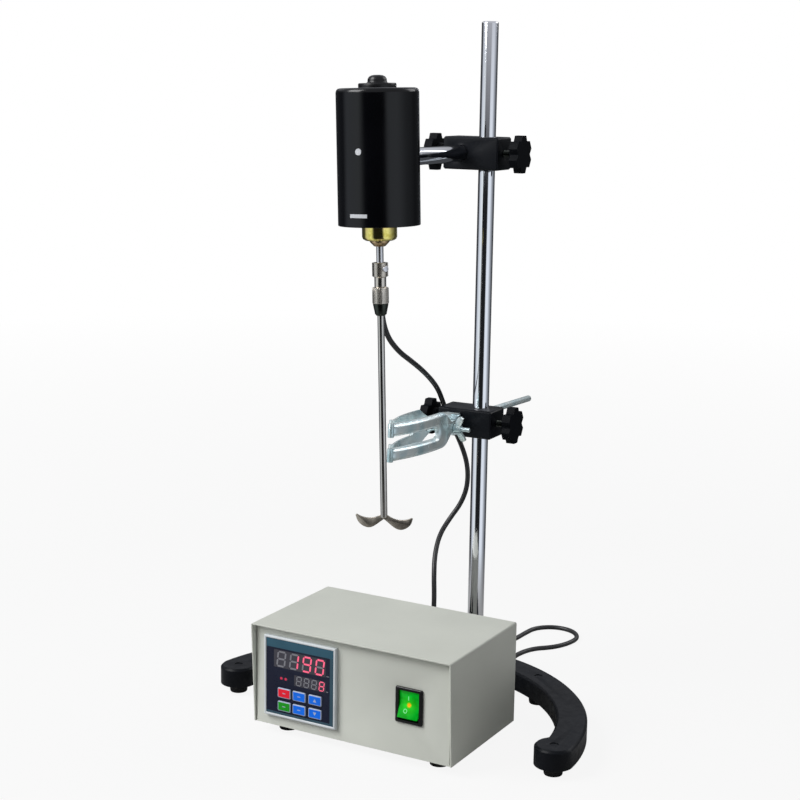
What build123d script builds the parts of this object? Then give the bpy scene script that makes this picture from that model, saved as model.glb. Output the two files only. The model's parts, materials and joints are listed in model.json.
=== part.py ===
"""Overhead stirrer on a horseshoe stand, with a flask clamp and a separate speed controller."""
from build123d import *
from math import acos, atan2, cos, degrees, hypot, pi, radians, sin, sqrt, tan
import os

os.makedirs("parts", exist_ok=True)

# ---------------------------------------------------------------- driving dimensions, in mm
# Frame: X along the line of the two front feet, Y to the back, Z up from the bench.
# Sizes called *_x, *_y are counted from the axis of the stand rod.

# stand
ring_radius = 168.0            # centre line of the horseshoe, seen from above
ring_width = 26.5
ring_height = 17.5
ring_bevel = 2.0
ring_corner = 4.0              # fillets where the pads and the rod's boss meet the ring
tip_boss_radius = 16.5         # round pads over the front feet
tip_angle = 5.5                # how far a front foot lies behind the ring's widest line
rear_foot_angle = 62.0         # rear feet, from the same line
rod_boss_radius = 20.0
rod_boss_rise = 4.0
foot_height = 8.5
foot_radius = 8.8
foot_taper = 7.0               # degrees
foot_screw_radius = 2.0
foot_screw_head_radius = 3.6
foot_screw_head_height = 2.2
rod_radius = 7.5
rod_top = 610.8
rod_chamfer = 1.2
rod_mark_z = 510.8             # a fine line turned round the rod, where its free end starts
rod_mark_width = 1.0
rod_mark_depth = 0.3
rod_socket_depth = 8.0
spigot_radius = 5.0
nut_recess_radius = 13.0
nut_recess_depth = 8.0
washer_radius = 11.5
washer_thickness = 1.6
nut_flats = 17.0
nut_height = 5.5

# boss heads
head_end = 17.0                # from a bore's axis to the end of the block
bore_spacing = 19.5
head_depth = 30.0
head_bevel = 1.4
running_gap = 0.05
upper_head_height = 29.0
upper_head_z = 495.6
upper_head_turn = 5.2
lower_head_height = 26.0
lower_head_z = 250.3
lower_head_turn = 5.0
cross_bore_radius = 4.2        # for the thin rod of the flask clamp

# star knobs and their studs
knob_radius = 17.0
knob_valley_radius = 13.2
knob_lobes = 6
knob_lobe_radius = 5.2
knob_corner = 1.5
knob_thickness = 7.7
knob_edge = 1.2
knob_neck_radius = 8.0
knob_neck_length = 3.8
knob_standoff = 7.5            # bare thread between the block and the knob's neck
stud_radius = 3.0
stud_gap = 0.03
stud_tip_gap = 0.1

# motor and its arm
arm_radius = 7.5
motor_reach = 169.0            # from the head's middle to the motor's axis
arm_tail = 20.0                # how far the arm stands out behind the head
drive_tilt = 1.85              # the motor is clamped a little off upright
motor_radius = 33.75
motor_top = 57.0               # heights along the drive axis, from the arm's axis
motor_bottom = -53.1
motor_edge = 4.0
cover_wall = 1.5
arm_flange_radius = 13.0
arm_flange_length = 8.0
cap_radius = 15.5
cap_height = 3.9
dome_radius = 7.9
dome_height = 6.4
end_plate_recess = 1.6
end_plate_thickness = 3.0
end_boss_radius = 14.4
end_boss_bottom = -65.6
end_boss_edge = 3.0
bush_radius = 8.1
bush_nose_radius = 4.6
bush_bottom = -70.4
shaft_radius = 3.0
shaft_gap = 0.02
bearing_radius = 9.5
bearing_width = 6.0
seat_wall = 2.5
field_outer_radius = 31.0
field_wall = 3.0
magnet_thickness = 5.0
magnet_angle = 130.0
field_bottom = -36.0
field_top = 30.0
armature_radius = 22.0
armature_bottom = -32.0
armature_top = 22.0
armature_slots = 12
slot_width = 2.6
slot_depth = 8.0
commutator_radius = 9.0
commutator_bottom = 28.0
commutator_top = 42.0
brush_size = 6.0
brush_gap = 0.2
end_screw_radius = 1.5
end_screw_head_radius = 2.8
end_screw_circle = 22.5
grommet_radius = 4.6
grommet_length = 9.0

# chuck, along the drive axis
chuck_top = -83.7
chuck_ring_radius = 6.3
chuck_ring_bottom = -95.1
waist_radius = 5.3
waist_bottom = -104.1
core_radius = 4.5
sleeve_radius = 6.85
sleeve_bottom = -117.4
sleeve_gap = 0.15
flute_count = 30
flute_depth = 0.35
nose_radius = 6.4
nose_tip_radius = 4.75
nose_bottom = -126.5
core_bottom = -120.5
jaw_outer = 4.2
jaw_proud = 1.0
jaw_slit = 0.9
set_screw_radius = 1.6
set_screw_proud = 2.4

# stirring rod and blade
stir_radius = 2.9
stir_gap = 0.05
stir_top = -112.0
stir_bottom = -299.0
blade_notch = -300.3           # height of the notch between the two lobes
blade_reach = 25.6
blade_rise = 2.6
blade_drop = 8.2
blade_thickness = 1.4
blade_turn = 7.0

# flask clamp, in its own rod's frame: y to the back along the rod
clamp_pitch = 2.3
clamp_rod_radius = 3.1
clamp_rod_tail = 158.0
ear_radius = 11.0
ear_centre = 28.0
ear_inner = 5.8
ear_outer = 8.8
clamp_back = 17.0
clamp_back_half = 7.0
pivot_x = 5.5
pivot_y = 29.0
pivot_pin_radius = 2.0
pin_proud = 0.6
eye_radius = 4.6
eye_gap = 0.3
jaw_thickness = 5.0
jaw_root_x = 7.5
jaw_root_y = 33.0
jaw_belly_x = 13.0
jaw_belly_y = 78.0
jaw_tip_x = 4.6
jaw_tip_y = 148.0
rear_tip_y = 130.0
jaw_root_half = 5.4
jaw_fork_half = 16.4
jaw_flare_start = 47.0
jaw_flare_end = 66.0
crotch_y = 76.0
prong_gap_half = 4.9
prong_round = 4.5
jaw_lip_radius = 2.7
jaw_open_angle = 20.0
wing_y = 39.0
wing_slot_end = 54.4
wing_z = -2.0
wing_screw_radius = 2.0
wing_screw_inner = 14.0
wing_screw_outer = 27.0
wing_hub_radius = 4.4
wing_hub_length = 6.0
wing_reach = 12.5
wing_thickness = 2.4

# speed controller
box_corner_x = -94.1           # the front left lower corner
box_corner_y = -218.0
box_turn = 3.3
box_width = 193.8
box_depth = 117.1
box_bottom = 9.0
box_top = 99.4
sheet = 1.2
sheet_bend = 1.8
visor_top = 6.2
visor_bottom = 0.9
panel_seam = 1.2               # shadow gap between the cover's sides and the front panel
tray_gap = 0.1
tray_flange = 11.0
box_foot_radius = 9.0
box_foot_inset_x = 22.0
box_foot_inset_y = 20.0
box_screw_radius = 1.5

# panel meter
meter_size = 72.0
meter_x = 48.0
meter_z = 54.9
meter_cutout = 68.0
meter_body = 67.0
meter_body_depth = 62.0
meter_proud = 4.0
meter_rim = 2.2
meter_face_thickness = 2.6
meter_face_recess = 0.6
key_width = 13.2
key_height = 8.8
key_columns = (20.7, 35.9, 51.9)     # centres, from the meter's left edge
key_rows = (49.6, 61.6)              # centres, from the meter's top edge
key_gap = 0.2
key_proud = 0.8
key_travel = 0.5
key_flange = 0.6
upper_display = (9.9, 62.2, 11.5, 27.2)    # left, right, top, bottom from the top left corner
lower_display = (30.6, 62.2, 31.1, 40.8)
led_columns = (18.5, 23.0)
led_row = 36.7
led_radius = 1.1

# mains switch
switch_x = 153.5
switch_z = 54.0
switch_width = 25.5
switch_height = 31.0
switch_proud = 2.0
switch_body_width = 21.4
switch_body_height = 28.4
switch_body_depth = 22.0
rocker_width = 18.6
rocker_gap = 0.3
rocker_half = 11.5
rocker_lift = 6.5              # from the pivot to the rocker's two ends
rocker_angle = 11.0            # each way from level
rocker_pivot_depth = 4.0       # behind the panel
pivot_stub_radius = 1.5

# inside the controller, and on its back
board_size = (96.0, 70.0, 1.6)
board_place = (128.0, 66.0)
standoff_height = 8.0
transformer_size = (42.0, 34.0, 36.0)
transformer_back_gap = 21.1    # from the back of the case to the middle of the core
transformer_place = (40.0, box_depth - transformer_back_gap)
coil_overhang = 8.0
socket_x = 75.0
socket_z = 49.0
socket_radius = 8.0
socket_flange_radius = 11.0
socket_length = 8.0
socket_skirt = 12.0
plug_radius = 8.8
plug_length = 12.0
boot_length = 12.0
gland_x = 125.0
gland_z = 22.0
gland_flange_radius = 7.0
gland_length = 28.0

# cords
lead_diameter = 4.6
mains_diameter = 4.6
coil_layers = 3
coil_centre_x = -62.0
coil_centre_y = 40.0
coil_mid_radius = 25.0
mains_plug_size = (34.0, 27.0, 15.0)
mains_plug_boot = 16.0
pin_length = 17.0


# ---------------------------------------------------------------- places worked out from the above
def turned_dirs(angle):
    """Unit vectors along and across a block turned about the stand rod."""
    a = radians(angle)
    return Vector(cos(a), sin(a), 0), Vector(-sin(a), cos(a), 0)


up = Vector(0, 0, 1)
upper_along, upper_across = turned_dirs(upper_head_turn)
lower_along, lower_across = turned_dirs(lower_head_turn)
box_along, box_across = turned_dirs(box_turn)

pitch = radians(clamp_pitch)
clamp_back_dir = lower_across * cos(pitch) - up * sin(pitch)
clamp_up = up * cos(pitch) + lower_across * sin(pitch)

# the origin is the middle of the footprint: the visor's corner in front, the clamp rod's tail behind
front_reach = box_corner_y - visor_top * cos(radians(box_turn))
back_reach = (
    (lower_along * -bore_spacing + clamp_back_dir * clamp_rod_tail).Y
    + clamp_rod_radius * sin(radians(lower_head_turn))
)
rod_y = -(front_reach + back_reach) / 2
rod_foot = Vector(0, rod_y, 0)
ring_top = foot_height + ring_height
ring_centre = (0, rod_y - ring_radius)

upper = Plane(origin=rod_foot + up * upper_head_z, x_dir=upper_along, z_dir=up)
lower = Plane(origin=rod_foot + up * lower_head_z, x_dir=lower_along, z_dir=up)
box = Plane(
    origin=rod_foot + Vector(box_corner_x, box_corner_y, 0), x_dir=box_along, z_dir=up
)

tilt = radians(drive_tilt)
drive_up = up * cos(tilt) - upper_along * sin(tilt)
drive_side = upper_along * cos(tilt) + up * sin(tilt)
drive = Plane(
    origin=upper.from_local_coords(Vector(-bore_spacing, -motor_reach, 0)),
    x_dir=drive_side,
    z_dir=drive_up,
)
drive_section = Plane(origin=drive.origin, x_dir=drive.x_dir, z_dir=drive.y_dir * -1)
drive_axis = Axis(drive.origin, drive.z_dir)

clamp = Plane(
    origin=lower.from_local_coords(Vector(-bore_spacing, 0, 0)),
    x_dir=lower_along,
    z_dir=clamp_up,
)
clamp_side = Plane(origin=clamp.origin, x_dir=clamp.y_dir, z_dir=clamp.x_dir)

panel = Plane(origin=box.origin, x_dir=box.x_dir, z_dir=box.y_dir * -1)
back = Plane(
    origin=box.from_local_coords(Vector(0, box_depth, 0)), x_dir=box.x_dir * -1, z_dir=box.y_dir
)


def finish(piece, name):
    """Name a finished piece and write it as its own STEP file."""
    piece.part.label = name
    export_step(piece.part, f"parts/{name}.step")


def along_plane(plane, x, y, z, direction):
    """A plane at a local point of another, with its normal along a world direction."""
    return Plane(origin=plane.from_local_coords(Vector(x, y, z)), x_dir=up, z_dir=direction)


def turned(section, outline):
    """A piece turned on a lathe: the outline gives radius and height."""
    with BuildPart() as piece:
        with BuildSketch(section):
            with BuildLine():
                Polyline(*outline, close=True)
            make_face()
        revolve(axis=Axis(section.origin, section.y_dir))
    return piece


# ---------------------------------------------------------------- stand
def ring_point(angle, radius=ring_radius):
    """A point over the horseshoe's centre line, at an angle from its widest line."""
    a = radians(angle)
    return (ring_centre[0] + radius * cos(a), ring_centre[1] + radius * sin(a))


tip_radius = ring_radius + ring_width / 2 - tip_boss_radius
foot_places = [
    ring_point(tip_angle, tip_radius),
    ring_point(180 - tip_angle, tip_radius),
    ring_point(rear_foot_angle),
    ring_point(180 - rear_foot_angle),
]
rod_seat = ring_top + rod_boss_rise - rod_socket_depth
nut_ceiling = foot_height + nut_recess_depth

ring_outer = ring_radius + ring_width / 2
ring_inner = ring_radius - ring_width / 2
reach_angle = degrees(
    acos((tip_radius**2 + ring_inner**2 - tip_boss_radius**2) / (2 * tip_radius * ring_inner))
)
tip_centre = foot_places[0]
outer_end = ring_point(tip_angle, ring_outer)
inner_end = ring_point(tip_angle + reach_angle, ring_inner)
inner_turn = degrees(atan2(inner_end[1] - tip_centre[1], inner_end[0] - tip_centre[0])) - 360
round_way = radians((tip_angle + inner_turn) / 2)
tip_front = (
    tip_centre[0] + tip_boss_radius * cos(round_way),
    tip_centre[1] + tip_boss_radius * sin(round_way),
)


def opposite(point):
    """The same point on the other arm of the horseshoe."""
    return (-point[0], point[1])


with BuildPart() as base_casting:
    with BuildSketch(Plane.XY.offset(foot_height)) as outline:
        with BuildLine():
            ThreePointArc(outer_end, ring_point(90, ring_outer), opposite(outer_end))
            ThreePointArc(opposite(outer_end), opposite(tip_front), opposite(inner_end))
            ThreePointArc(opposite(inner_end), ring_point(90, ring_inner), inner_end)
            ThreePointArc(inner_end, tip_front, outer_end)
        make_face()
        with Locations((0, rod_y)):
            Circle(rod_boss_radius)
        fillet([v for v in outline.vertices() if abs(v.X) < outer_end[0] - 1], ring_corner)
    extrude(amount=ring_height)
    chamfer(base_casting.faces().sort_by(Axis.Z)[-1].edges(), ring_bevel)
    with BuildSketch(Plane.XY.offset(ring_top)):
        with Locations((0, rod_y)):
            Circle(rod_boss_radius - ring_bevel - 1)
    extrude(amount=rod_boss_rise, taper=8)
    with BuildSketch(Plane.XY.offset(rod_seat)):
        with Locations((0, rod_y)):
            Circle(rod_radius)
    extrude(amount=rod_socket_depth, mode=Mode.SUBTRACT)
    with BuildSketch(Plane.XY.offset(foot_height)):
        with Locations((0, rod_y)):
            Circle(spigot_radius)
    extrude(amount=ring_height, mode=Mode.SUBTRACT)
    with BuildSketch(Plane.XY.offset(foot_height)):
        with Locations((0, rod_y)):
            Circle(nut_recess_radius)
    extrude(amount=nut_recess_depth, mode=Mode.SUBTRACT)
    with BuildSketch(Plane.XY.offset(foot_height)):
        with Locations(*foot_places):
            Circle(foot_screw_radius)
    extrude(amount=ring_height, mode=Mode.SUBTRACT)
    with BuildSketch(Plane.XY.offset(ring_top - foot_screw_head_height)):
        with Locations(*foot_places):
            Circle(foot_screw_head_radius)
    extrude(amount=foot_screw_head_height, mode=Mode.SUBTRACT)
finish(base_casting, "base_casting")

with BuildPart() as base_feet:
    with BuildSketch(Plane.XY.offset(foot_height)):
        with Locations(*foot_places):
            Circle(foot_radius)
    extrude(amount=-foot_height, taper=foot_taper)
    with BuildSketch(Plane.XY.offset(foot_height / 2)):
        with Locations(*foot_places):
            Circle(foot_screw_radius)
    extrude(amount=foot_height / 2, mode=Mode.SUBTRACT)
finish(base_feet, "base_feet")

with BuildPart() as base_foot_screws:
    with BuildSketch(Plane.XY.offset(foot_height / 2)):
        with Locations(*foot_places):
            Circle(foot_screw_radius)
    extrude(amount=ring_top - foot_height / 2 - foot_screw_head_height)
    with BuildSketch(Plane.XY.offset(ring_top - foot_screw_head_height)):
        with Locations(*foot_places):
            Circle(foot_screw_head_radius)
    extrude(amount=foot_screw_head_height - 0.6)
finish(base_foot_screws, "base_foot_screws")

rod_section = Plane(origin=rod_foot, x_dir=(1, 0, 0), z_dir=(0, -1, 0))
spigot_end = nut_ceiling - washer_thickness - nut_height
stand_rod = turned(
    rod_section,
    [
        (0, spigot_end),
        (spigot_radius, spigot_end),
        (spigot_radius, rod_seat),
        (rod_radius, rod_seat),
        (rod_radius, rod_mark_z),
        (rod_radius - rod_mark_depth, rod_mark_z),
        (rod_radius - rod_mark_depth, rod_mark_z + rod_mark_width),
        (rod_radius, rod_mark_z + rod_mark_width),
        (rod_radius, rod_top - rod_chamfer),
        (rod_radius - rod_chamfer, rod_top),
        (0, rod_top),
    ],
)
finish(stand_rod, "stand_rod")

with BuildPart() as rod_nut:
    with BuildSketch(Plane.XY.offset(spigot_end)):
        with Locations((0, rod_y)):
            RegularPolygon(nut_flats / 2, 6, major_radius=False)
            Circle(spigot_radius, mode=Mode.SUBTRACT)
    extrude(amount=nut_height)
    with BuildSketch(Plane.XY.offset(nut_ceiling - washer_thickness)):
        with Locations((0, rod_y)):
            Circle(washer_radius)
            Circle(spigot_radius, mode=Mode.SUBTRACT)
    extrude(amount=washer_thickness)
finish(rod_nut, "rod_nut")


# ---------------------------------------------------------------- boss heads and star knobs
def boss_head(frame, height, side_bore_radius):
    """A block with an upright bore for the stand rod and a level one beside it."""
    middle = -bore_spacing / 2
    length = bore_spacing + 2 * head_end
    cross = Plane(
        origin=frame.from_local_coords(Vector(-bore_spacing, 0, 0)),
        x_dir=frame.x_dir,
        z_dir=frame.y_dir,
    )
    tapped = Plane(
        origin=frame.from_local_coords(Vector(middle, 0, 0)), x_dir=up, z_dir=frame.x_dir
    )
    with BuildPart() as block:
        with BuildSketch(frame.offset(-height / 2)):
            with Locations((middle, 0)):
                RectangleRounded(length, head_depth, head_bevel)
        extrude(amount=height)
        chamfer(block.faces().sort_by(Axis.Z)[-1].edges(), head_bevel)
        chamfer(block.faces().sort_by(Axis.Z)[0].edges(), head_bevel)
        with BuildSketch(tapped):
            Circle(stud_radius + stud_gap)
        extrude(amount=length, both=True, mode=Mode.SUBTRACT)
        with BuildSketch(frame):
            Circle(rod_radius + running_gap)
        extrude(amount=height, both=True, mode=Mode.SUBTRACT)
        with BuildSketch(cross):
            Circle(side_bore_radius)
        extrude(amount=head_depth, both=True, mode=Mode.SUBTRACT)
    return block


def star_knob(frame, side, clamped_radius, bore_x):
    """A star knob with its stud, on the block's right end (side 1) or left end (side -1)."""
    end_x = bore_x + side * head_end
    outward = frame.x_dir * side
    neck = along_plane(frame, end_x + side * knob_standoff, 0, 0, outward)
    star = neck.offset(knob_neck_length)
    tip_x = bore_x + side * (clamped_radius + stud_tip_gap)
    stud_length = head_end - clamped_radius - stud_tip_gap + knob_standoff
    with BuildPart() as knob:
        with BuildSketch(star) as outline:
            Circle(knob_valley_radius)
            with PolarLocations(knob_radius - knob_lobe_radius, knob_lobes):
                Circle(knob_lobe_radius)
            fillet(outline.vertices(), knob_corner)
        extrude(amount=knob_thickness)
        chamfer(knob.faces().sort_by(Axis(frame.origin, outward))[-1].edges(), knob_edge)
        with BuildSketch(neck):
            Circle(knob_neck_radius)
        extrude(amount=knob_neck_length)
        with BuildSketch(along_plane(frame, tip_x, 0, 0, outward)):
            Circle(stud_radius)
        extrude(amount=stud_length)
    return knob


finish(boss_head(upper, upper_head_height, arm_radius + running_gap), "upper_boss_head")
finish(boss_head(lower, lower_head_height, cross_bore_radius), "lower_boss_head")
for level, frame, side_radius in (("upper", upper, arm_radius), ("lower", lower, clamp_rod_radius)):
    for use, side, held_radius, bore_x in (
        ("rod", 1, rod_radius, 0),
        ("side", -1, side_radius, -bore_spacing),
    ):
        knob = star_knob(frame, side, held_radius, bore_x)
        finish(knob, f"{level}_{use}_knob")

# ---------------------------------------------------------------- motor
arm_line = Plane(origin=drive.origin, x_dir=up, z_dir=upper_across)
with BuildPart() as motor_arm:
    with BuildSketch(arm_line):
        Circle(arm_flange_radius)
    extrude(amount=motor_radius + arm_flange_length)
    chamfer(motor_arm.faces().sort_by(Axis(drive.origin, upper_across))[-1].edges(), rod_chamfer)
    with BuildSketch(arm_line):
        Circle(arm_radius)
    extrude(amount=motor_reach + head_depth / 2 + arm_tail)
    chamfer(motor_arm.faces().sort_by(Axis(drive.origin, upper_across))[-1].edges(), rod_chamfer)
    with BuildSketch(drive.offset(motor_bottom - 10)):
        Circle(motor_radius)
    extrude(amount=motor_top - motor_bottom + 20, mode=Mode.SUBTRACT)
finish(motor_arm, "motor_arm")

cover_inner = motor_radius - cover_wall
plate_top = motor_bottom + end_plate_recess + end_plate_thickness
with BuildPart() as motor_cover:
    with BuildSketch(drive.offset(motor_bottom)):
        Circle(motor_radius)
    extrude(amount=motor_top - motor_bottom)
    fillet(motor_cover.faces().sort_by(drive_axis)[-1].edges(), motor_edge)
    with BuildSketch(drive.offset(motor_bottom)):
        Circle(cover_inner)
    extrude(amount=motor_top - cover_wall - motor_bottom, mode=Mode.SUBTRACT)
    with BuildSketch(drive.offset(motor_top - cover_wall)):
        Circle(bearing_radius + seat_wall)
        Circle(bearing_radius, mode=Mode.SUBTRACT)
    extrude(amount=-bearing_width)
finish(motor_cover, "motor_cover")

upper_bearing_bottom = motor_top - cover_wall - bearing_width
shaft_top = upper_bearing_bottom + bearing_width - 0.5
lower_bearing_bottom = end_boss_bottom + 4.0
cap_top = motor_top + cap_height
with BuildPart() as top_cap:
    with BuildSketch(drive.offset(motor_top)):
        Circle(cap_radius)
    extrude(amount=cap_height)
    fillet(top_cap.faces().sort_by(drive_axis)[-1].edges(), cap_height / 3)
    with BuildSketch(drive.offset(cap_top)):
        Circle(dome_radius)
    extrude(amount=dome_height)
    fillet(top_cap.faces().sort_by(drive_axis)[-1].edges(), dome_height * 0.75)
finish(top_cap, "top_cap")

upper_bearing_bottom = motor_top - cover_wall - bearing_width
shaft_top = upper_bearing_bottom + bearing_width - 0.5
lower_bearing_bottom = end_boss_bottom + 4.0
end_plate = turned(
    drive_section,
    [
        (shaft_radius + 1.0, end_boss_bottom),
        (end_boss_radius - end_boss_edge, end_boss_bottom),
        (end_boss_radius, end_boss_bottom + end_boss_edge),
        (end_boss_radius, plate_top - end_plate_thickness),
        (cover_inner, plate_top - end_plate_thickness),
        (cover_inner, plate_top),
        (bearing_radius, plate_top),
        (bearing_radius, lower_bearing_bottom),
        (shaft_radius + 1.0, lower_bearing_bottom),
    ],
)
lead_out = (-10.9, 20.3)       # where the lead leaves the end plate, across and behind the shaft
screw_places = [
    (end_screw_circle * cos(radians(a)), end_screw_circle * sin(radians(a)))
    for a in (-128, -38, 38, 142)
]
with BuildPart() as end_plate_cut:
    add(end_plate.part)
    with BuildSketch(drive.offset(plate_top - end_plate_thickness)):
        with Locations(lead_out):
            Circle(grommet_radius - 1.0)
        with Locations(*screw_places):
            Circle(end_screw_radius)
    extrude(amount=end_plate_thickness, mode=Mode.SUBTRACT)
finish(end_plate_cut, "end_plate")

with BuildPart() as end_plate_screws:
    with BuildSketch(drive.offset(plate_top - end_plate_thickness)):
        with Locations(*screw_places):
            Circle(end_screw_radius)
    extrude(amount=end_plate_thickness)
    with BuildSketch(drive.offset(plate_top - end_plate_thickness)):
        with Locations(*screw_places):
            Circle(end_screw_head_radius)
    extrude(amount=-1.6)
finish(end_plate_screws, "end_plate_screws")

output_bush = turned(
    drive_section,
    [
        (shaft_radius + shaft_gap, bush_bottom),
        (bush_nose_radius, bush_bottom),
        (bush_radius, end_boss_bottom - 1.2),
        (bush_radius, end_boss_bottom),
        (shaft_radius + shaft_gap, end_boss_bottom),
    ],
)
finish(output_bush, "output_bush")


with BuildPart() as shaft_bearings:
    for bottom in (lower_bearing_bottom, upper_bearing_bottom):
        with BuildSketch(drive.offset(bottom)):
            Circle(bearing_radius)
            Circle(shaft_radius + shaft_gap, mode=Mode.SUBTRACT)
        extrude(amount=bearing_width)
        for face, way in ((bottom, 1), (bottom + bearing_width, -1)):
            with BuildSketch(drive.offset(face)):
                Circle(bearing_radius - 1.6)
                Circle(shaft_radius + 2.0, mode=Mode.SUBTRACT)
            extrude(amount=way * 0.5, mode=Mode.SUBTRACT)
finish(shaft_bearings, "shaft_bearings")

magnet_outer = field_outer_radius - field_wall
with BuildPart() as field_ring:
    with BuildSketch(drive.offset(field_bottom)):
        Circle(cover_inner)
        Circle(magnet_outer, mode=Mode.SUBTRACT)
    extrude(amount=field_top - field_bottom)
    with BuildSketch(drive.offset(field_bottom + 3)):
        with PolarLocations(0, 2):
            with BuildLine():
                outer = CenterArc((0, 0), magnet_outer, -magnet_angle / 2, magnet_angle)
                inner = CenterArc(
                    (0, 0), magnet_outer - magnet_thickness, -magnet_angle / 2, magnet_angle
                )
                Line(outer @ 0, inner @ 0)
                Line(outer @ 1, inner @ 1)
            make_face()
    extrude(amount=field_top - field_bottom - 6)
finish(field_ring, "field_ring")

motor_shaft = turned(
    drive_section,
    [
        (0, chuck_top - 9.0),
        (shaft_radius, chuck_top - 9.0),
        (shaft_radius, shaft_top),
        (0, shaft_top),
    ],
)
finish(motor_shaft, "motor_shaft")

with BuildPart() as armature:
    with BuildSketch(drive.offset(armature_bottom)):
        Circle(armature_radius)
        with PolarLocations(armature_radius - slot_depth / 2, armature_slots):
            Rectangle(slot_depth + 2, slot_width, mode=Mode.SUBTRACT)
        Circle(shaft_radius, mode=Mode.SUBTRACT)
    extrude(amount=armature_top - armature_bottom)
    with BuildSketch(drive.offset(armature_top)):
        Circle(commutator_radius - 2)
        Circle(shaft_radius, mode=Mode.SUBTRACT)
    extrude(amount=commutator_bottom - armature_top)
    with BuildSketch(drive.offset(commutator_bottom)):
        Circle(commutator_radius)
        Circle(shaft_radius, mode=Mode.SUBTRACT)
    extrude(amount=commutator_top - commutator_bottom)
finish(armature, "armature")

brush_middle = (commutator_bottom + commutator_top) / 2
with BuildPart() as brushes:
    for side in (1, -1):
        face = Plane(
            origin=drive.origin + drive.z_dir * brush_middle, x_dir=drive.z_dir,
            z_dir=drive.y_dir * side,
        )
        with BuildSketch(face.offset(commutator_radius + brush_gap)):
            Rectangle(brush_size, brush_size)
        extrude(amount=cover_inner - commutator_radius - brush_gap - 1.0)
finish(brushes, "brushes")

# ---------------------------------------------------------------- lead grommet
with BuildPart() as lead_grommet:
    with BuildSketch(drive.offset(plate_top - end_plate_thickness)):
        with Locations(lead_out):
            Circle(grommet_radius - 1.0)
    extrude(amount=end_plate_thickness)
    with BuildSketch(drive.offset(plate_top - end_plate_thickness)):
        with Locations(lead_out):
            Circle(grommet_radius)
    extrude(amount=-grommet_length, taper=9)
finish(lead_grommet, "lead_grommet")
lead_start = drive.from_local_coords(
    Vector(lead_out[0], lead_out[1], plate_top - end_plate_thickness - grommet_length)
)

# ---------------------------------------------------------------- chuck and stirring rod
core_floor = chuck_top - 9.0
chuck_body = turned(
    drive_section,
    [
        (shaft_radius, chuck_top),
        (chuck_ring_radius, chuck_top),
        (chuck_ring_radius, chuck_ring_bottom),
        (waist_radius, chuck_ring_bottom),
        (waist_radius, waist_bottom),
        (core_radius, waist_bottom),
        (core_radius, core_bottom),
        (stir_radius + stir_gap, core_bottom),
        (stir_radius + stir_gap, core_floor - 2.5),
        (0, core_floor - 2.5),
        (0, core_floor),
        (shaft_radius, core_floor),
    ],
)
screw_face = Plane(
    origin=drive.from_local_coords(Vector(0, 0, (chuck_top + chuck_ring_bottom) / 2 + 1.0)),
    x_dir=drive.z_dir,
    z_dir=(drive.x_dir * cos(radians(28)) - drive.y_dir * sin(radians(28))),
)
with BuildPart() as chuck_body_cut:
    add(chuck_body.part)
    with BuildSketch(screw_face.offset(shaft_radius)):
        Circle(set_screw_radius)
    extrude(amount=chuck_ring_radius, mode=Mode.SUBTRACT)
finish(chuck_body_cut, "chuck_body")

with BuildPart() as chuck_set_screw:
    with BuildSketch(screw_face.offset(shaft_radius)):
        Circle(set_screw_radius)
    extrude(amount=chuck_ring_radius - shaft_radius)
    with BuildSketch(screw_face.offset(chuck_ring_radius)):
        Circle(set_screw_radius + 0.9)
    extrude(amount=set_screw_proud)
finish(chuck_set_screw, "chuck_set_screw")

with BuildPart() as chuck_sleeve:
    with BuildSketch(drive.offset(sleeve_bottom + sleeve_gap)):
        Circle(sleeve_radius)
        with PolarLocations(sleeve_radius, flute_count):
            Rectangle(2 * flute_depth, pi * sleeve_radius / flute_count, mode=Mode.SUBTRACT)
        Circle(core_radius + running_gap, mode=Mode.SUBTRACT)
    extrude(amount=waist_bottom - sleeve_bottom - 2 * sleeve_gap)
finish(chuck_sleeve, "chuck_sleeve")

chuck_nose = turned(
    drive_section,
    [
        (core_radius, sleeve_bottom),
        (nose_radius, sleeve_bottom),
        (nose_radius, sleeve_bottom - 0.8),
        (nose_tip_radius, nose_bottom),
        (jaw_outer, nose_bottom),
        (jaw_outer - 0.4, nose_bottom - jaw_proud),
        (stir_radius + stir_gap, nose_bottom - jaw_proud),
        (stir_radius + stir_gap, core_bottom),
        (core_radius, core_bottom),
    ],
)
with BuildPart() as chuck_nose_cut:
    add(chuck_nose.part)
    with BuildSketch(drive.offset(nose_bottom - jaw_proud)):
        with PolarLocations((jaw_outer + stir_radius) / 2, 3):
            Rectangle(jaw_outer - stir_radius + 0.6, jaw_slit)
    extrude(amount=jaw_proud + 2.0, mode=Mode.SUBTRACT)
finish(chuck_nose_cut, "chuck_nose")

stir_rod = turned(
    drive_section,
    [(0, stir_bottom), (stir_radius, stir_bottom), (stir_radius, stir_top), (0, stir_top)],
)
turn = radians(blade_turn)
blade_along = drive.x_dir * cos(turn) + drive.y_dir * sin(turn)
blade_plane = Plane(
    origin=drive.origin + drive.z_dir * blade_notch,
    x_dir=blade_along,
    z_dir=blade_along.cross(drive.z_dir),
)
blade_half_hub = 3.4
with BuildPart() as stir_blade:
    with BuildSketch(blade_plane):
        with BuildLine():
            top = ThreePointArc(
                (blade_half_hub, 3.4), (blade_reach * 0.55, 0.2), (blade_reach - 1.2, blade_rise)
            )
            tip = ThreePointArc(
                top @ 1, (blade_reach - 0.1, blade_rise - 0.4), (blade_reach - 0.3, 0.9)
            )
            belly = Spline(
                tip @ 1,
                (blade_reach * 0.8, -blade_drop * 0.77),
                (blade_reach * 0.53, -blade_drop),
                (blade_reach * 0.26, -blade_drop * 0.6),
                (0, 0),
            )
            Line((0, 0), (0, 3.4))
            Line((0, 3.4), top @ 0)
        make_face()
        mirror(about=Plane.YZ)
    extrude(amount=blade_thickness / 2, both=True)
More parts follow.
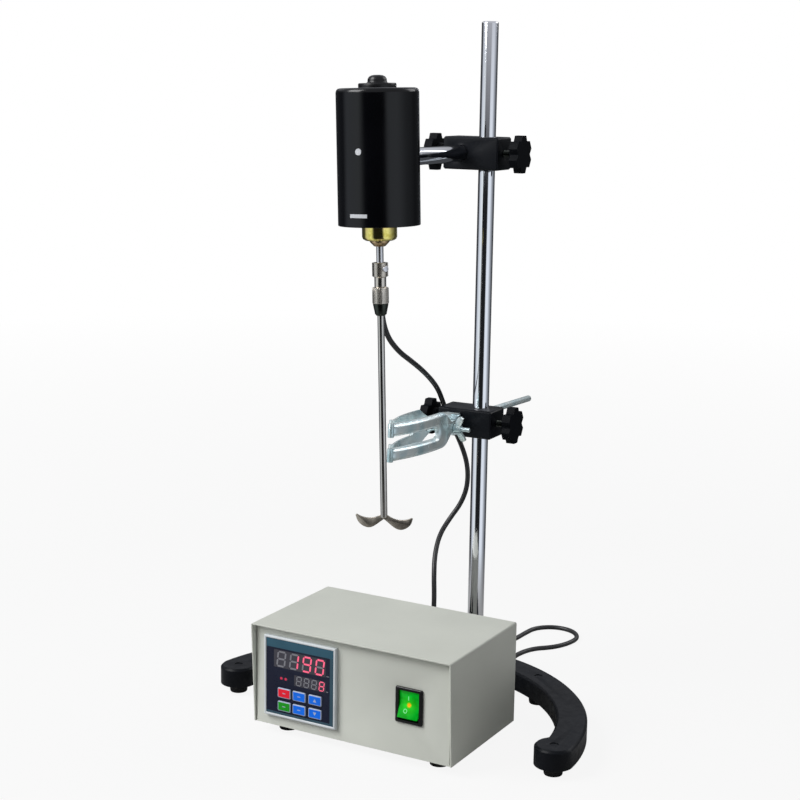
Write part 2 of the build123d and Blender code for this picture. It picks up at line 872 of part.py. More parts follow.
finish(stir_blade, "stir_blade")

with BuildPart() as stir_rod_cut:
    add(stir_rod.part)
    with BuildSketch(blade_plane):
        with Locations((0, 2.0)):
            Rectangle(4 * stir_radius, 2.8)
    extrude(amount=blade_thickness / 2, both=True, mode=Mode.SUBTRACT)
finish(stir_rod_cut, "stir_rod")

# ---------------------------------------------------------------- flask clamp
clamp_line = Plane(origin=clamp.origin, x_dir=clamp.x_dir, z_dir=clamp.y_dir)
clamp_rod_front = ear_centre - 8.0
with BuildPart() as clamp_rod:
    with BuildSketch(clamp_line.offset(-clamp_rod_front)):
        Circle(clamp_rod_radius)
    extrude(amount=clamp_rod_front + clamp_rod_tail)
    chamfer(clamp_rod.faces().sort_by(Axis(clamp.origin, clamp.y_dir))[-1].edges(), 0.6)
finish(clamp_rod, "clamp_rod")

pivots = ((pivot_x, -pivot_y), (-pivot_x, -pivot_y))
with BuildPart() as clamp_body:
    with BuildSketch(clamp.offset(-ear_outer)):
        with Locations((0, -ear_centre)):
            Circle(ear_radius)
        with Locations((0, -(clamp_back + ear_centre) / 2)):
            Rectangle(2 * clamp_back_half, ear_centre - clamp_back)
    extrude(amount=2 * ear_outer)
    fillet(clamp_body.faces().sort_by(Axis(clamp.origin, clamp.z_dir))[-1].edges(), 1.2)
    with BuildSketch(clamp.offset(-ear_inner)):
        with Locations((0, -ear_centre - ear_radius + 5.4)):
            Rectangle(2 * ear_radius + 2, 2 * ear_radius + 1)
    extrude(amount=2 * ear_inner, mode=Mode.SUBTRACT)
    with BuildSketch(clamp_line.offset(-clamp_rod_front)):
        Circle(clamp_rod_radius)
    extrude(amount=clamp_rod_front, mode=Mode.SUBTRACT)
    with BuildSketch(clamp.offset(-ear_outer - pin_proud)):
        with Locations(*pivots):
            Circle(pivot_pin_radius)
    extrude(amount=2 * (ear_outer + pin_proud))
finish(clamp_body, "clamp_body")


def clamp_jaw(side, pin_gap, tip_y):
    """A forked jaw: a bowed strip seen from above, cut to two prongs seen from the side."""
    half = jaw_thickness / 2
    root_top = jaw_root_half
    with BuildPart() as jaw:
        with BuildSketch(clamp.offset(-jaw_fork_half)):
            with BuildLine():
                outer = ThreePointArc(
                    (side * (jaw_root_x + half), -jaw_root_y),
                    (side * (jaw_belly_x + half), -jaw_belly_y),
                    (side * (jaw_tip_x + half), -tip_y),
                )
                inner = ThreePointArc(
                    (side * (jaw_root_x - half), -jaw_root_y),
                    (side * (jaw_belly_x - half), -jaw_belly_y),
                    (side * (jaw_tip_x - half), -tip_y),
                )
                Line(outer @ 0, inner @ 0)
                Line(outer @ 1, inner @ 1)
            make_face()
        extrude(amount=2 * jaw_fork_half)
        with BuildSketch(clamp_side):
            with BuildLine():
                Polyline(
                    (-jaw_root_y + 8, root_top),
                    (-jaw_flare_start, root_top),
                    (-jaw_flare_end, jaw_fork_half),
                    (-tip_y - 8, jaw_fork_half),
                    (-tip_y - 8, -jaw_fork_half),
                    (-jaw_flare_end, -jaw_fork_half),
                    (-jaw_flare_start, -root_top),
                    (-jaw_root_y + 8, -root_top),
                    close=True,
                )
            make_face()
            with Locations(((-crotch_y - tip_y - 40) / 2, 0)):
                SlotOverall(tip_y + 40 - crotch_y, 2 * prong_gap_half, mode=Mode.SUBTRACT)
        extrude(amount=2 * (jaw_belly_x + jaw_thickness), both=True, mode=Mode.INTERSECT)
        long_edges = [
            e
            for e in jaw.edges().filter_by(GeomType.CIRCLE)
            if e.length > 40 and side * clamp.to_local_coords(e @ 0.5).X > jaw_belly_x
        ]
        fillet(long_edges, prong_round)
        with BuildSketch(clamp.offset(-jaw_root_half)):
            with Locations((side * pivot_x, -pivot_y)):
                Circle(eye_radius)
            with Locations((side * (pivot_x + jaw_root_x) / 2, -(pivot_y + jaw_root_y) / 2)):
                Rectangle(jaw_thickness, jaw_root_y - pivot_y + 2)
        extrude(amount=2 * jaw_root_half)
        with BuildSketch(clamp.offset(-jaw_root_half)):
            with Locations((side * pivot_x, -pivot_y)):
                Circle(pivot_pin_radius + pin_gap)
        extrude(amount=2 * jaw_root_half, mode=Mode.SUBTRACT)
        for low in (-jaw_fork_half, prong_gap_half):
            with BuildSketch(clamp.offset(low)):
                with Locations((side * (jaw_tip_x - 0.4), -tip_y)):
                    Circle(jaw_lip_radius)
            extrude(amount=jaw_fork_half - prong_gap_half)
    return jaw


front_jaw = clamp_jaw(1, running_gap, jaw_tip_y)
with BuildPart() as front_jaw_cut:
    add(front_jaw.part)
    with BuildSketch(clamp_side):
        with Locations((-wing_y, wing_z)):
            Circle(wing_screw_radius + running_gap)
    extrude(amount=3 * jaw_belly_x, mode=Mode.SUBTRACT)
finish(front_jaw_cut, "front_jaw")

swing = radians(jaw_open_angle)
rear_jaw = clamp_jaw(-1, 0, rear_tip_y)
slot_back = wing_y - wing_screw_radius - 0.4
with BuildPart() as rear_jaw_cut:
    add(rear_jaw.part)
    with BuildSketch(clamp_side):
        with Locations((-(slot_back + wing_slot_end) / 2, wing_z)):
            Rectangle(wing_slot_end - slot_back, 2 * wing_screw_radius + 1.2)
    extrude(amount=-3 * jaw_belly_x, mode=Mode.SUBTRACT)
finish(rear_jaw_cut, "rear_jaw")

wing_line = Plane(
    origin=clamp.from_local_coords(Vector(0, -wing_y, wing_z)),
    x_dir=clamp.z_dir,
    z_dir=clamp.x_dir,
)
wing_seat = 12.4
with BuildPart() as wing_screw:
    with BuildSketch(wing_line.offset(wing_seat)):
        Circle(wing_hub_radius)
    extrude(amount=wing_hub_length, taper=7)
    with BuildSketch(
        Plane(
            origin=wing_line.origin,
            x_dir=clamp.x_dir,
            z_dir=clamp.y_dir * cos(radians(20)) + clamp.z_dir * sin(radians(20)),
        )
    ):
        with BuildLine():
            Polyline(
                (wing_seat + 0.8, 0),
                (wing_seat + 1.4, wing_hub_radius),
                (wing_seat + 4.6, wing_reach - 1.0),
                (wing_seat + 7.2, wing_reach),
                (wing_seat + 9.6, wing_reach - 1.6),
                (wing_seat + 8.6, wing_reach - 5.0),
                (wing_seat + wing_hub_length - 0.2, wing_hub_radius - 1.4),
                (wing_seat + wing_hub_length - 0.4, 0),
                close=True,
            )
        make_face()
        mirror(about=Plane.XZ)
    extrude(amount=wing_thickness / 2, both=True)
    with BuildSketch(wing_line.offset(-wing_screw_inner)):
        Circle(wing_screw_radius)
    extrude(amount=wing_screw_inner + wing_screw_outer)
    chamfer(wing_screw.faces().sort_by(Axis(clamp.origin, clamp.x_dir))[-1].edges(), 0.5)
finish(wing_screw, "wing_screw")

# ---------------------------------------------------------------- speed controller's case
case_height = box_top - box_bottom
side_plane = Plane(origin=box.origin, x_dir=box.y_dir, z_dir=box.x_dir)
with BuildPart() as box_cover:
    with BuildSketch(side_plane):
        with BuildLine():
            Polyline(
                (-visor_top, box_top),
                (box_depth, box_top),
                (box_depth, box_bottom),
                (-visor_bottom, box_bottom),
                close=True,
            )
        make_face()
    extrude(amount=box_width)
    top_edges = box_cover.faces().sort_by(Axis.Z)[-1].edges()
    fillet(top_edges.filter_by(Axis(box.origin, box.y_dir)), sheet_bend)
    with BuildSketch(panel.offset(2 * visor_top)):
        with BuildLine():
            Polyline(
                (sheet, box_bottom - 1),
                (sheet, box_top - sheet),
                (box_width - sheet, box_top - sheet),
                (box_width - sheet, box_bottom - 1),
                close=True,
            )
        make_face()
    extrude(amount=-(box_depth + 4 * visor_top), mode=Mode.SUBTRACT)
    with BuildSketch(panel.offset(-2 * sheet)):
        for x in (sheet, box_width - sheet - tray_flange):
            with Locations((x + tray_flange / 2, box_bottom + 1.6 * sheet)):
                Rectangle(tray_flange, sheet)
    extrude(amount=-(box_depth - 4 * sheet))
finish(box_cover, "box_cover")

tray_left = sheet + tray_gap
tray_width = box_width - 2 * tray_left
panel_left = sheet + panel_seam
screw_spots = [
    (x, y)
    for x in (sheet + tray_flange * 0.6, box_width - sheet - tray_flange * 0.6)
    for y in (box_depth * 0.3, box_depth * 0.75)
]
with BuildPart() as box_chassis:
    with BuildSketch(box.offset(box_bottom)):
        with Locations((box_width / 2, box_depth / 2)):
            Rectangle(tray_width, box_depth)
    extrude(amount=sheet)
    with BuildSketch(panel):
        with Locations((box_width / 2, (box_bottom + box_top - sheet) / 2)):
            Rectangle(box_width - 2 * panel_left, case_height - sheet - 2 * tray_gap)
        with Locations((meter_x, meter_z)):
            Rectangle(meter_cutout, meter_cutout, mode=Mode.SUBTRACT)
        with Locations((switch_x, switch_z)):
            Rectangle(switch_body_width, switch_body_height, mode=Mode.SUBTRACT)
    extrude(amount=-sheet)
    with BuildSketch(back):
        with Locations((-box_width / 2, (box_bottom + box_top - sheet) / 2)):
            Rectangle(tray_width, case_height - sheet - 2 * tray_gap)
        with Locations((-socket_x, socket_z)):
            Circle(socket_radius, mode=Mode.SUBTRACT)
        with Locations((-gland_x, gland_z)):
            Circle(gland_flange_radius - 2, mode=Mode.SUBTRACT)
    extrude(amount=-sheet)
    with BuildSketch(box.offset(box_bottom)):
        with Locations(*screw_spots):
            Circle(box_screw_radius)
    extrude(amount=sheet, mode=Mode.SUBTRACT)
    with BuildSketch(box.offset(box_bottom + sheet)):
        with Locations(board_place):
            with GridLocations(board_size[0] - 10, board_size[1] - 10, 2, 2):
                Circle(3)
    extrude(amount=standoff_height)
finish(box_chassis, "box_chassis")

with BuildPart() as case_screws:
    with BuildSketch(box.offset(box_bottom)):
        with Locations(*screw_spots):
            Circle(box_screw_radius)
    extrude(amount=sheet)
    with BuildSketch(box.offset(box_bottom)):
        with Locations(*screw_spots):
            Circle(box_screw_radius + 1.4)
    extrude(amount=-1.4)
finish(case_screws, "case_screws")

box_foot_spots = [
    (x, y)
    for x in (box_foot_inset_x, box_width - box_foot_inset_x)
    for y in (box_foot_inset_y, box_depth - box_foot_inset_y)
]
with BuildPart() as box_feet:
    with BuildSketch(box.offset(box_bottom)):
        with Locations(*box_foot_spots):
            Circle(box_foot_radius)
    extrude(amount=-box_bottom, taper=6)
finish(box_feet, "box_feet")

# ---------------------------------------------------------------- panel meter
meter_left = meter_x - meter_size / 2
meter_head = meter_z + meter_size / 2
face_front = meter_proud - meter_face_recess
face_back = face_front - meter_face_thickness
face_size = meter_size - 2 * meter_rim


def window(place):
    """Centre, width and height of a window given from the meter's top left corner."""
    left, right, top_edge, bottom_edge = place
    centre = (meter_left + (left + right) / 2, meter_head - (top_edge + bottom_edge) / 2)
    return centre, right - left, bottom_edge - top_edge


with BuildPart() as meter_bezel:
    with BuildSketch(panel):
        with Locations((meter_x, meter_z)):
            Rectangle(meter_size, meter_size)
            Rectangle(face_size, face_size, mode=Mode.SUBTRACT)
    extrude(amount=meter_proud)
    chamfer(meter_bezel.faces().sort_by(Axis(panel.origin, panel.z_dir))[-1].edges(), 0.5)
finish(meter_bezel, "meter_bezel")

key_spots = {
    f"key_{row + 1}_{column + 1}": (meter_left + x, meter_head - y)
    for row, y in enumerate(key_rows)
    for column, x in enumerate(key_columns)
}
with BuildPart() as meter_face:
    with BuildSketch(panel.offset(face_back)):
        with Locations((meter_x, meter_z)):
            Rectangle(face_size, face_size)
        for place in (upper_display, lower_display):
            centre, width, height = window(place)
            with Locations(centre):
                Rectangle(width, height, mode=Mode.SUBTRACT)
        with Locations(*key_spots.values()):
            Rectangle(key_width + 2 * key_gap, key_height + 2 * key_gap, mode=Mode.SUBTRACT)
        with Locations(*[(meter_left + x, meter_head - led_row) for x in led_columns]):
            Circle(led_radius, mode=Mode.SUBTRACT)
    extrude(amount=meter_face_thickness)
finish(meter_face, "meter_face")

with BuildPart() as meter_displays:
    with BuildSketch(panel.offset(face_back)):
        for place in (upper_display, lower_display):
            centre, width, height = window(place)
            with Locations(centre):
                Rectangle(width, height)
        with Locations(*[(meter_left + x, meter_head - led_row) for x in led_columns]):
            Circle(led_radius)
    extrude(amount=meter_face_thickness)
finish(meter_displays, "meter_displays")

with BuildPart() as meter_case:
    with BuildSketch(panel.offset(face_back)):
        with Locations((meter_x, meter_z)):
            Rectangle(meter_body, meter_body)
    extrude(amount=-meter_body_depth)
    with BuildSketch(panel.offset(face_back)):
        with Locations(*key_spots.values()):
            Rectangle(key_width + 2 * key_gap, key_height + 2 * key_gap)
    extrude(amount=-(key_travel + key_flange), mode=Mode.SUBTRACT)
finish(meter_case, "meter_case")

for name, spot in key_spots.items():
    with BuildPart() as key:
        with BuildSketch(panel.offset(face_back)):
            with Locations(spot):
                RectangleRounded(key_width, key_height, 1.2)
        extrude(amount=meter_face_thickness + key_proud)
        chamfer(key.faces().sort_by(Axis(panel.origin, panel.z_dir))[-1].edges(), 0.4)
    finish(key, name)

# ---------------------------------------------------------------- mains switch
opening_half = (rocker_half * cos(radians(rocker_angle)) + rocker_lift * sin(radians(rocker_angle)))
opening_height = 2 * (opening_half + rocker_gap)
opening_width = rocker_width + 2 * rocker_gap
opening_depth = 14.0
with BuildPart() as switch_body:
    with BuildSketch(panel):
        with Locations((switch_x, switch_z)):
            RectangleRounded(switch_width, switch_height, 1.5)
    extrude(amount=switch_proud)
    chamfer(switch_body.faces().sort_by(Axis(panel.origin, panel.z_dir))[-1].edges(), 0.6)
    with BuildSketch(panel):
        with Locations((switch_x, switch_z)):
            Rectangle(switch_body_width, switch_body_height)
    extrude(amount=-switch_body_depth)
    with BuildSketch(panel.offset(switch_proud)):
        with Locations((switch_x, switch_z)):
            Rectangle(opening_width, opening_height)
    extrude(amount=-opening_depth, mode=Mode.SUBTRACT)
    pivot_stubs = Plane(
        origin=panel.from_local_coords(Vector(switch_x, switch_z, -rocker_pivot_depth)),
        x_dir=up,
        z_dir=panel.x_dir,
    )
    with BuildSketch(pivot_stubs):
        Circle(pivot_stub_radius)
    extrude(amount=opening_width / 2 + 0.5, both=True)
finish(switch_body, "switch_body")

rocker_side = Plane(origin=pivot_stubs.origin, x_dir=panel.z_dir, z_dir=panel.x_dir * -1)
level = radians(rocker_angle)
rocker_dip = rocker_half * tan(level)


def tipped(out, height):
    """A point of the rocker's side view, tipped so that its lower half stands out."""
    return (out * cos(level) - height * sin(level), out * sin(level) + height * cos(level))


with BuildPart() as switch_rocker:
    with BuildSketch(rocker_side):
        with BuildLine():
            Polyline(
                tipped(rocker_lift, rocker_half),
                tipped(rocker_lift - rocker_dip, 0),
                tipped(rocker_lift, -rocker_half),
                tipped(-2.6, -rocker_half * 0.62),
                tipped(-2.6, rocker_half * 0.62),
                close=True,
            )
        make_face()
        Circle(pivot_stub_radius + running_gap, mode=Mode.SUBTRACT)
    extrude(amount=rocker_width / 2, both=True)
finish(switch_rocker, "switch_rocker")

# ---------------------------------------------------------------- inside the controller
board_x, board_y = board_place
board_z = box_bottom + sheet + standoff_height
with BuildPart() as control_board:
    with BuildSketch(box.offset(board_z)):
        with Locations(board_place):
            Rectangle(board_size[0], board_size[1])
    extrude(amount=board_size[2])
    with BuildSketch(box.offset(board_z + board_size[2])):
        with Locations((board_x - 30, board_y), (board_x + 10, board_y + 14)):
            Circle(7)
        with Locations((board_x + 30, board_y - 6)):
            Rectangle(16, 22)
    extrude(amount=16)
finish(control_board, "control_board")

core_x, core_y, core_z = transformer_size
with BuildPart() as transformer:
    with BuildSketch(box.offset(box_bottom + sheet)):
        with Locations(transformer_place):
            Rectangle(core_x, core_y * 0.5)
    extrude(amount=core_z)
    with BuildSketch(box.offset(box_bottom + sheet + core_z * 0.2)):
        with Locations(transformer_place):
            RectangleRounded(core_x * 0.68, core_y * 0.5 + 2 * coil_overhang, 3)
    extrude(amount=core_z * 0.6)
finish(transformer, "transformer")

# ---------------------------------------------------------------- sockets on the back
socket_section = Plane(
    origin=back.from_local_coords(Vector(-socket_x, socket_z, 0)), x_dir=up, z_dir=back.x_dir
)
motor_socket = turned(
    socket_section,
    [
        (0, -socket_skirt),
        (socket_radius, -socket_skirt),
        (socket_radius, 0),
        (socket_flange_radius, 0),
        (socket_flange_radius, 2.0),
        (socket_radius, 2.0),
        (socket_radius, socket_length),
        (0, socket_length),
    ],
)
finish(motor_socket, "motor_socket")

lead_radius = lead_diameter / 2
plug_end = socket_length + plug_length + boot_length
motor_plug = turned(
    socket_section,
    [
        (0, socket_length),
        (socket_radius, socket_length),
        (socket_radius, 2.6),
        (plug_radius + 0.9, 2.6),
        (plug_radius + 0.9, socket_length),
        (plug_radius, socket_length + 1),
        (plug_radius, socket_length + plug_length),
        (lead_radius + 2.0, socket_length + plug_length + 1.5),
        (lead_radius + 0.8, plug_end),
        (0, plug_end),
    ],
)
finish(motor_plug, "motor_plug")

gland_section = Plane(
    origin=back.from_local_coords(Vector(-gland_x, gland_z, 0)), x_dir=up, z_dir=back.x_dir
)
mains_radius = mains_diameter / 2
cord_gland = turned(
    gland_section,
    [
        (0, -4.0),
        (gland_flange_radius - 2.0, -4.0),
        (gland_flange_radius - 2.0, 0),
        (gland_flange_radius, 0),
        (gland_flange_radius, 2.4),
        (mains_radius + 2.4, 3.6),
        (mains_radius + 0.8, gland_length),
        (0, gland_length),
    ],
)
finish(cord_gland, "cord_gland")


# ---------------------------------------------------------------- cords
def corner_radii(points):
    """The largest arc that each corner of a route has room for: 0.45 of its shorter run."""
    radii = []
    for before, here, after in zip(points, points[1:], points[2:]):
        half_turn = radians((here - before).get_angle(after - here)) / 2
        shorter = min((here - before).length, (after - here).length)
        radii.append(0.45 * shorter / tan(half_turn))
    return radii


def cord_tube(name, route, diameter):
    """A tube along straight runs joined by tangent arcs."""
    points = [Vector(*p) for p in route]
    radii = corner_radii(points)
    print(name, "radii", [round(r) for r in radii])
    with BuildPart() as tube:
        with BuildLine() as path:
            FilletPolyline(*points, radius=radii)
        with BuildSketch(Plane(origin=path.line @ 0, z_dir=path.line % 0)):
            Circle(diameter / 2)
        sweep()
    length = sum(e.length for e in path.edges())
    ratio = tube.part.volume / (pi * diameter**2 / 4 * length)
    print(name, "length", round(length), "volume ratio", round(ratio, 4))
    finish(tube, name)


def from_rod(x, y, z):
    """A point given from the foot of the stand rod."""
    return Vector(x, rod_y + y, z)


# the motor's lead: down from the motor, behind the lower boss head, to the plug on the back
over_head = from_rod(-41.5, -1.0, 267.0)
behind_head = from_rod(-46.5, 21.5, 243.0)
lead_meeting = (over_head + behind_head) / 2
plug_tail = back.from_local_coords(Vector(-socket_x, socket_z, plug_end))
upper_lead_route = [
    lead_start,
    lead_start - drive.z_dir * 22.0,
    from_rod(-14.0, -149.4, 376.0),
    from_rod(-12.6, -143.7, 349.0),
    from_rod(-10.4, -127.0, 332.0),
    from_rod(-10.2, -104.0, 319.5),
    from_rod(-13.5, -80.0, 307.5),
    from_rod(-19.5, -54.0, 294.0),
    from_rod(-29.5, -27.0, 280.5),
    over_head,
    lead_meeting,
]
lower_lead_route = [
    lead_meeting,
    behind_head,
    from_rod(-35.5, 24.0, 223.0),
    from_rod(-27.0, 24.8, 202.0),
    from_rod(-26.2, 24.8, 181.0),
    from_rod(-31.5, 22.5, 163.0),
    from_rod(-39.5, 14.5, 148.0),
    from_rod(-41.0, -1.0, 135.5),
    from_rod(-36.5, -16.5, 120.0),
    from_rod(-30.5, -27.0, 103.0),
    from_rod(-27.5, -30.5, 83.0),
    from_rod(-26.6, -33.0, 62.0),
    plug_tail + box.y_dir * 20.0,
    plug_tail,
]
cord_tube("motor_lead_upper", upper_lead_route, lead_diameter)
cord_tube("motor_lead_lower", lower_lead_route, lead_diameter)

# the mains cord: out of the gland, over the base, a loose loop on the bench, then its coil
gland_tail = back.from_local_coords(Vector(-gland_x, gland_z, gland_length))
bench = mains_radius + 0.1
mains_route = [
    gland_tail,
    gland_tail + box.y_dir * 18.0,
    from_rod(20.5, -28.0, 30.0),
    from_rod(20.5, -11.0, 36.5),
    from_rod(20.5, 8.0, 36.5),
    from_rod(19.5, 25.0, 29.0),
    from_rod(16.0, 41.0, 15.0),
    from_rod(10.0, 57.0, 4.6),
    from_rod(4.5, 77.0, bench),
    from_rod(9.0, 100.0, bench),
    from_rod(24.5, 116.0, bench),
    from_rod(32.0, 136.0, bench),
    from_rod(32.0, 157.0, bench),
    from_rod(17.5, 172.5, bench),
    from_rod(-3.5, 173.0, bench),
    from_rod(-18.5, 158.0, bench),
    from_rod(-19.5, 137.0, bench),
    from_rod(-19.0, 115.0, bench),
    from_rod(-24.0, 93.0, bench),
    from_rod(-30.5, 72.0, bench),
    from_rod(coil_centre_x + coil_mid_radius + mains_diameter, coil_centre_y + 12.0, bench),
]
cord_tube("mains_cord", mains_route, mains_diameter)

coil_inner = coil_mid_radius - 1.5 * mains_diameter
coil_outer = coil_mid_radius + 1.5 * mains_diameter
with BuildPart() as mains_coil:
    with BuildSketch(Plane.XY.offset(bench - mains_radius)):
        with Locations((coil_centre_x, rod_y + coil_centre_y)):
            Circle(coil_outer)
            Circle(coil_inner, mode=Mode.SUBTRACT)
    extrude(amount=coil_layers * mains_diameter)
finish(mains_coil, "mains_coil")

tail_y = coil_centre_y - coil_mid_radius - mains_diameter
plug_line = Plane(
    origin=from_rod(coil_centre_x - 14.0, tail_y, mains_plug_size[2] / 2), x_dir=(0, 1, 0),
    z_dir=(-1, 0, 0),
)
with BuildPart() as mains_plug:
    with BuildSketch(plug_line):
        Circle(mains_radius + 0.9)
    with BuildSketch(plug_line.offset(mains_plug_boot)):
        Circle(mains_radius + 2.6)
    loft()
    with BuildSketch(plug_line.offset(mains_plug_boot)):
        RectangleRounded(mains_plug_size[1], mains_plug_size[2], 5)
    extrude(amount=mains_plug_size[0])
    fillet(mains_plug.faces().sort_by(Axis.X)[0].edges(), 1.5)
    with BuildSketch(plug_line.offset(mains_plug_boot + mains_plug_size[0])):
        with Locations((0, -3.0)):
            Rectangle(1.6, 6.4)
        with Locations(Location((7.0, 2.6), 30), Location((-7.0, 2.6), -30)):
            Rectangle(1.6, 6.4)
    extrude(amount=pin_length)
finish(mains_plug, "mains_plug")
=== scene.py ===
import json
from math import cos, hypot, pi, radians, sin

import bmesh
import bpy
from mathutils import Matrix, Vector


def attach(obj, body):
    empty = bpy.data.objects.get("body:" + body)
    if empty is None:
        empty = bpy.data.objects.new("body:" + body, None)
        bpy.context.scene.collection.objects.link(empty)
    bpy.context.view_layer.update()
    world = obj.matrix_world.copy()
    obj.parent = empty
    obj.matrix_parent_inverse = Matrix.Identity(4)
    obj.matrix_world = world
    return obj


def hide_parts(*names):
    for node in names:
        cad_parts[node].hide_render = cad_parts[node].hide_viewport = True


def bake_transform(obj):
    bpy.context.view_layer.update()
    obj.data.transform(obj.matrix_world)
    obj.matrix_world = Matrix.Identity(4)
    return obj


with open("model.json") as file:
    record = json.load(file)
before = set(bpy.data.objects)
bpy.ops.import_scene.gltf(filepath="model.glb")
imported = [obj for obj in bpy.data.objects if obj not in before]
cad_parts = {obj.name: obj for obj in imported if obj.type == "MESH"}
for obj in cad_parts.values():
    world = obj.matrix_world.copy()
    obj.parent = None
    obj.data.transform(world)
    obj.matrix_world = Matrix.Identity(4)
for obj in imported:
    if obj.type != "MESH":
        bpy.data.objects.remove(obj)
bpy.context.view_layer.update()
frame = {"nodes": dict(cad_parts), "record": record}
nodes = frame["nodes"]
slotOf = {part["node"]: part["material_slot"] for part in frame["record"]["subparts"]}
scene = bpy.context.scene
scene.view_settings.view_transform = "Standard"
mm = 0.001

# every place below is in millimetres, from the middle of the footprint on the bench
layout = {
    "rodY": 34.17356, "upperTurn": 5.2, "lowerTurn": 5.0, "caseTurn": 3.3,
    "upperHeight": 495.6, "lowerHeight": 250.3, "caseX": -94.1, "caseY": -218.0,
    "caseDepth": 117.1, "sideBore": -19.5, "motorReach": 169.0, "motorTilt": 1.85,
    "leadX": -10.9, "leadY": 20.3,
}
rodY = layout["rodY"]
rodFoot = Vector((0, rodY, 0))
up = Vector((0, 0, 1))


def axesAt(origin, xAxis, zAxis):
    zAxis = Vector(zAxis).normalized()
    yAxis = zAxis.cross(Vector(xAxis)).normalized()
    xAxis = yAxis.cross(zAxis)
    place = Matrix((xAxis, yAxis, zAxis)).transposed().to_4x4()
    place.translation = Vector(origin)
    return place


def turnedAxes(degreesTurned):
    angle = radians(degreesTurned)
    return Vector((cos(angle), sin(angle), 0)), Vector((-sin(angle), cos(angle), 0))


upperAlong, upperAcross = turnedAxes(layout["upperTurn"])
boxAlong, boxAcross = turnedAxes(layout["caseTurn"])
upper = axesAt(rodFoot + up * layout["upperHeight"], upperAlong, up)
lower = axesAt(rodFoot + up * layout["lowerHeight"], turnedAxes(layout["lowerTurn"])[0], up)
case = axesAt(rodFoot + Vector((layout["caseX"], layout["caseY"], 0)), boxAlong, up)
panel = axesAt(case.translation, boxAlong, -boxAcross)
back = axesAt(case @ Vector((0, layout["caseDepth"], 0)), -boxAlong, boxAcross)
tilt = radians(layout["motorTilt"])
driveUp = up * cos(tilt) - upperAlong * sin(tilt)
driveSide = upperAlong * cos(tilt) + up * sin(tilt)
motorAxis = upper @ Vector((layout["sideBore"], -layout["motorReach"], 0))
drive = axesAt(motorAxis, driveSide, driveUp)
armLine = axesAt(drive.translation, up, upperAcross)


def fromRod(x, y, z):
    return Vector((x, rodY + y, z))


# camera
cameraLook = {
    "place": (0.738288, -1.259545, 0.561257),
    "right": (0.840941, 0.540918, 0.015053),
    "up": (-0.116595, 0.153961, 0.981174),
    "back": (0.528417, -0.826864, 0.192540),
    "lens": 74.034, "sensor": 36.0, "farthest": 50.0,
}


def addCamera():
    data = bpy.data.cameras.new("camera")
    data.lens = cameraLook["lens"]
    data.sensor_width = cameraLook["sensor"]
    data.clip_end = cameraLook["farthest"]
    camera = bpy.data.objects.new("camera", data)
    columns = [Vector(cameraLook[key]) for key in ("right", "up", "back")]
    camera.matrix_world = Matrix(columns).transposed().to_4x4()
    camera.matrix_world.translation = Vector(cameraLook["place"])
    scene.collection.objects.link(camera)
    scene.camera = camera


addCamera()
print("camera set")


# shader maths
class Signal:
    def __init__(self, shade, socket):
        self.shade = shade
        self.socket = socket

    def math(self, operation, first, second=0.0):
        return self.shade.add(
            "ShaderNodeMath", {"operation": operation}, {0: first, 1: second}
        )

    def __add__(self, other):
        return self.math("ADD", self, other)

    def __sub__(self, other):
        return self.math("SUBTRACT", self, other)

    def __rsub__(self, other):
        return self.math("SUBTRACT", other, self)

    def __mul__(self, other):
        return self.math("MULTIPLY", self, other)

    def __truediv__(self, other):
        return self.math("DIVIDE", self, other)

    def __pow__(self, other):
        return self.math("POWER", self, other)

    def __gt__(self, other):
        return self.math("GREATER_THAN", self, other)

    def __lt__(self, other):
        return self.math("LESS_THAN", self, other)

    def __abs__(self):
        return self.math("ABSOLUTE", self)

    __radd__ = __add__
    __rmul__ = __mul__


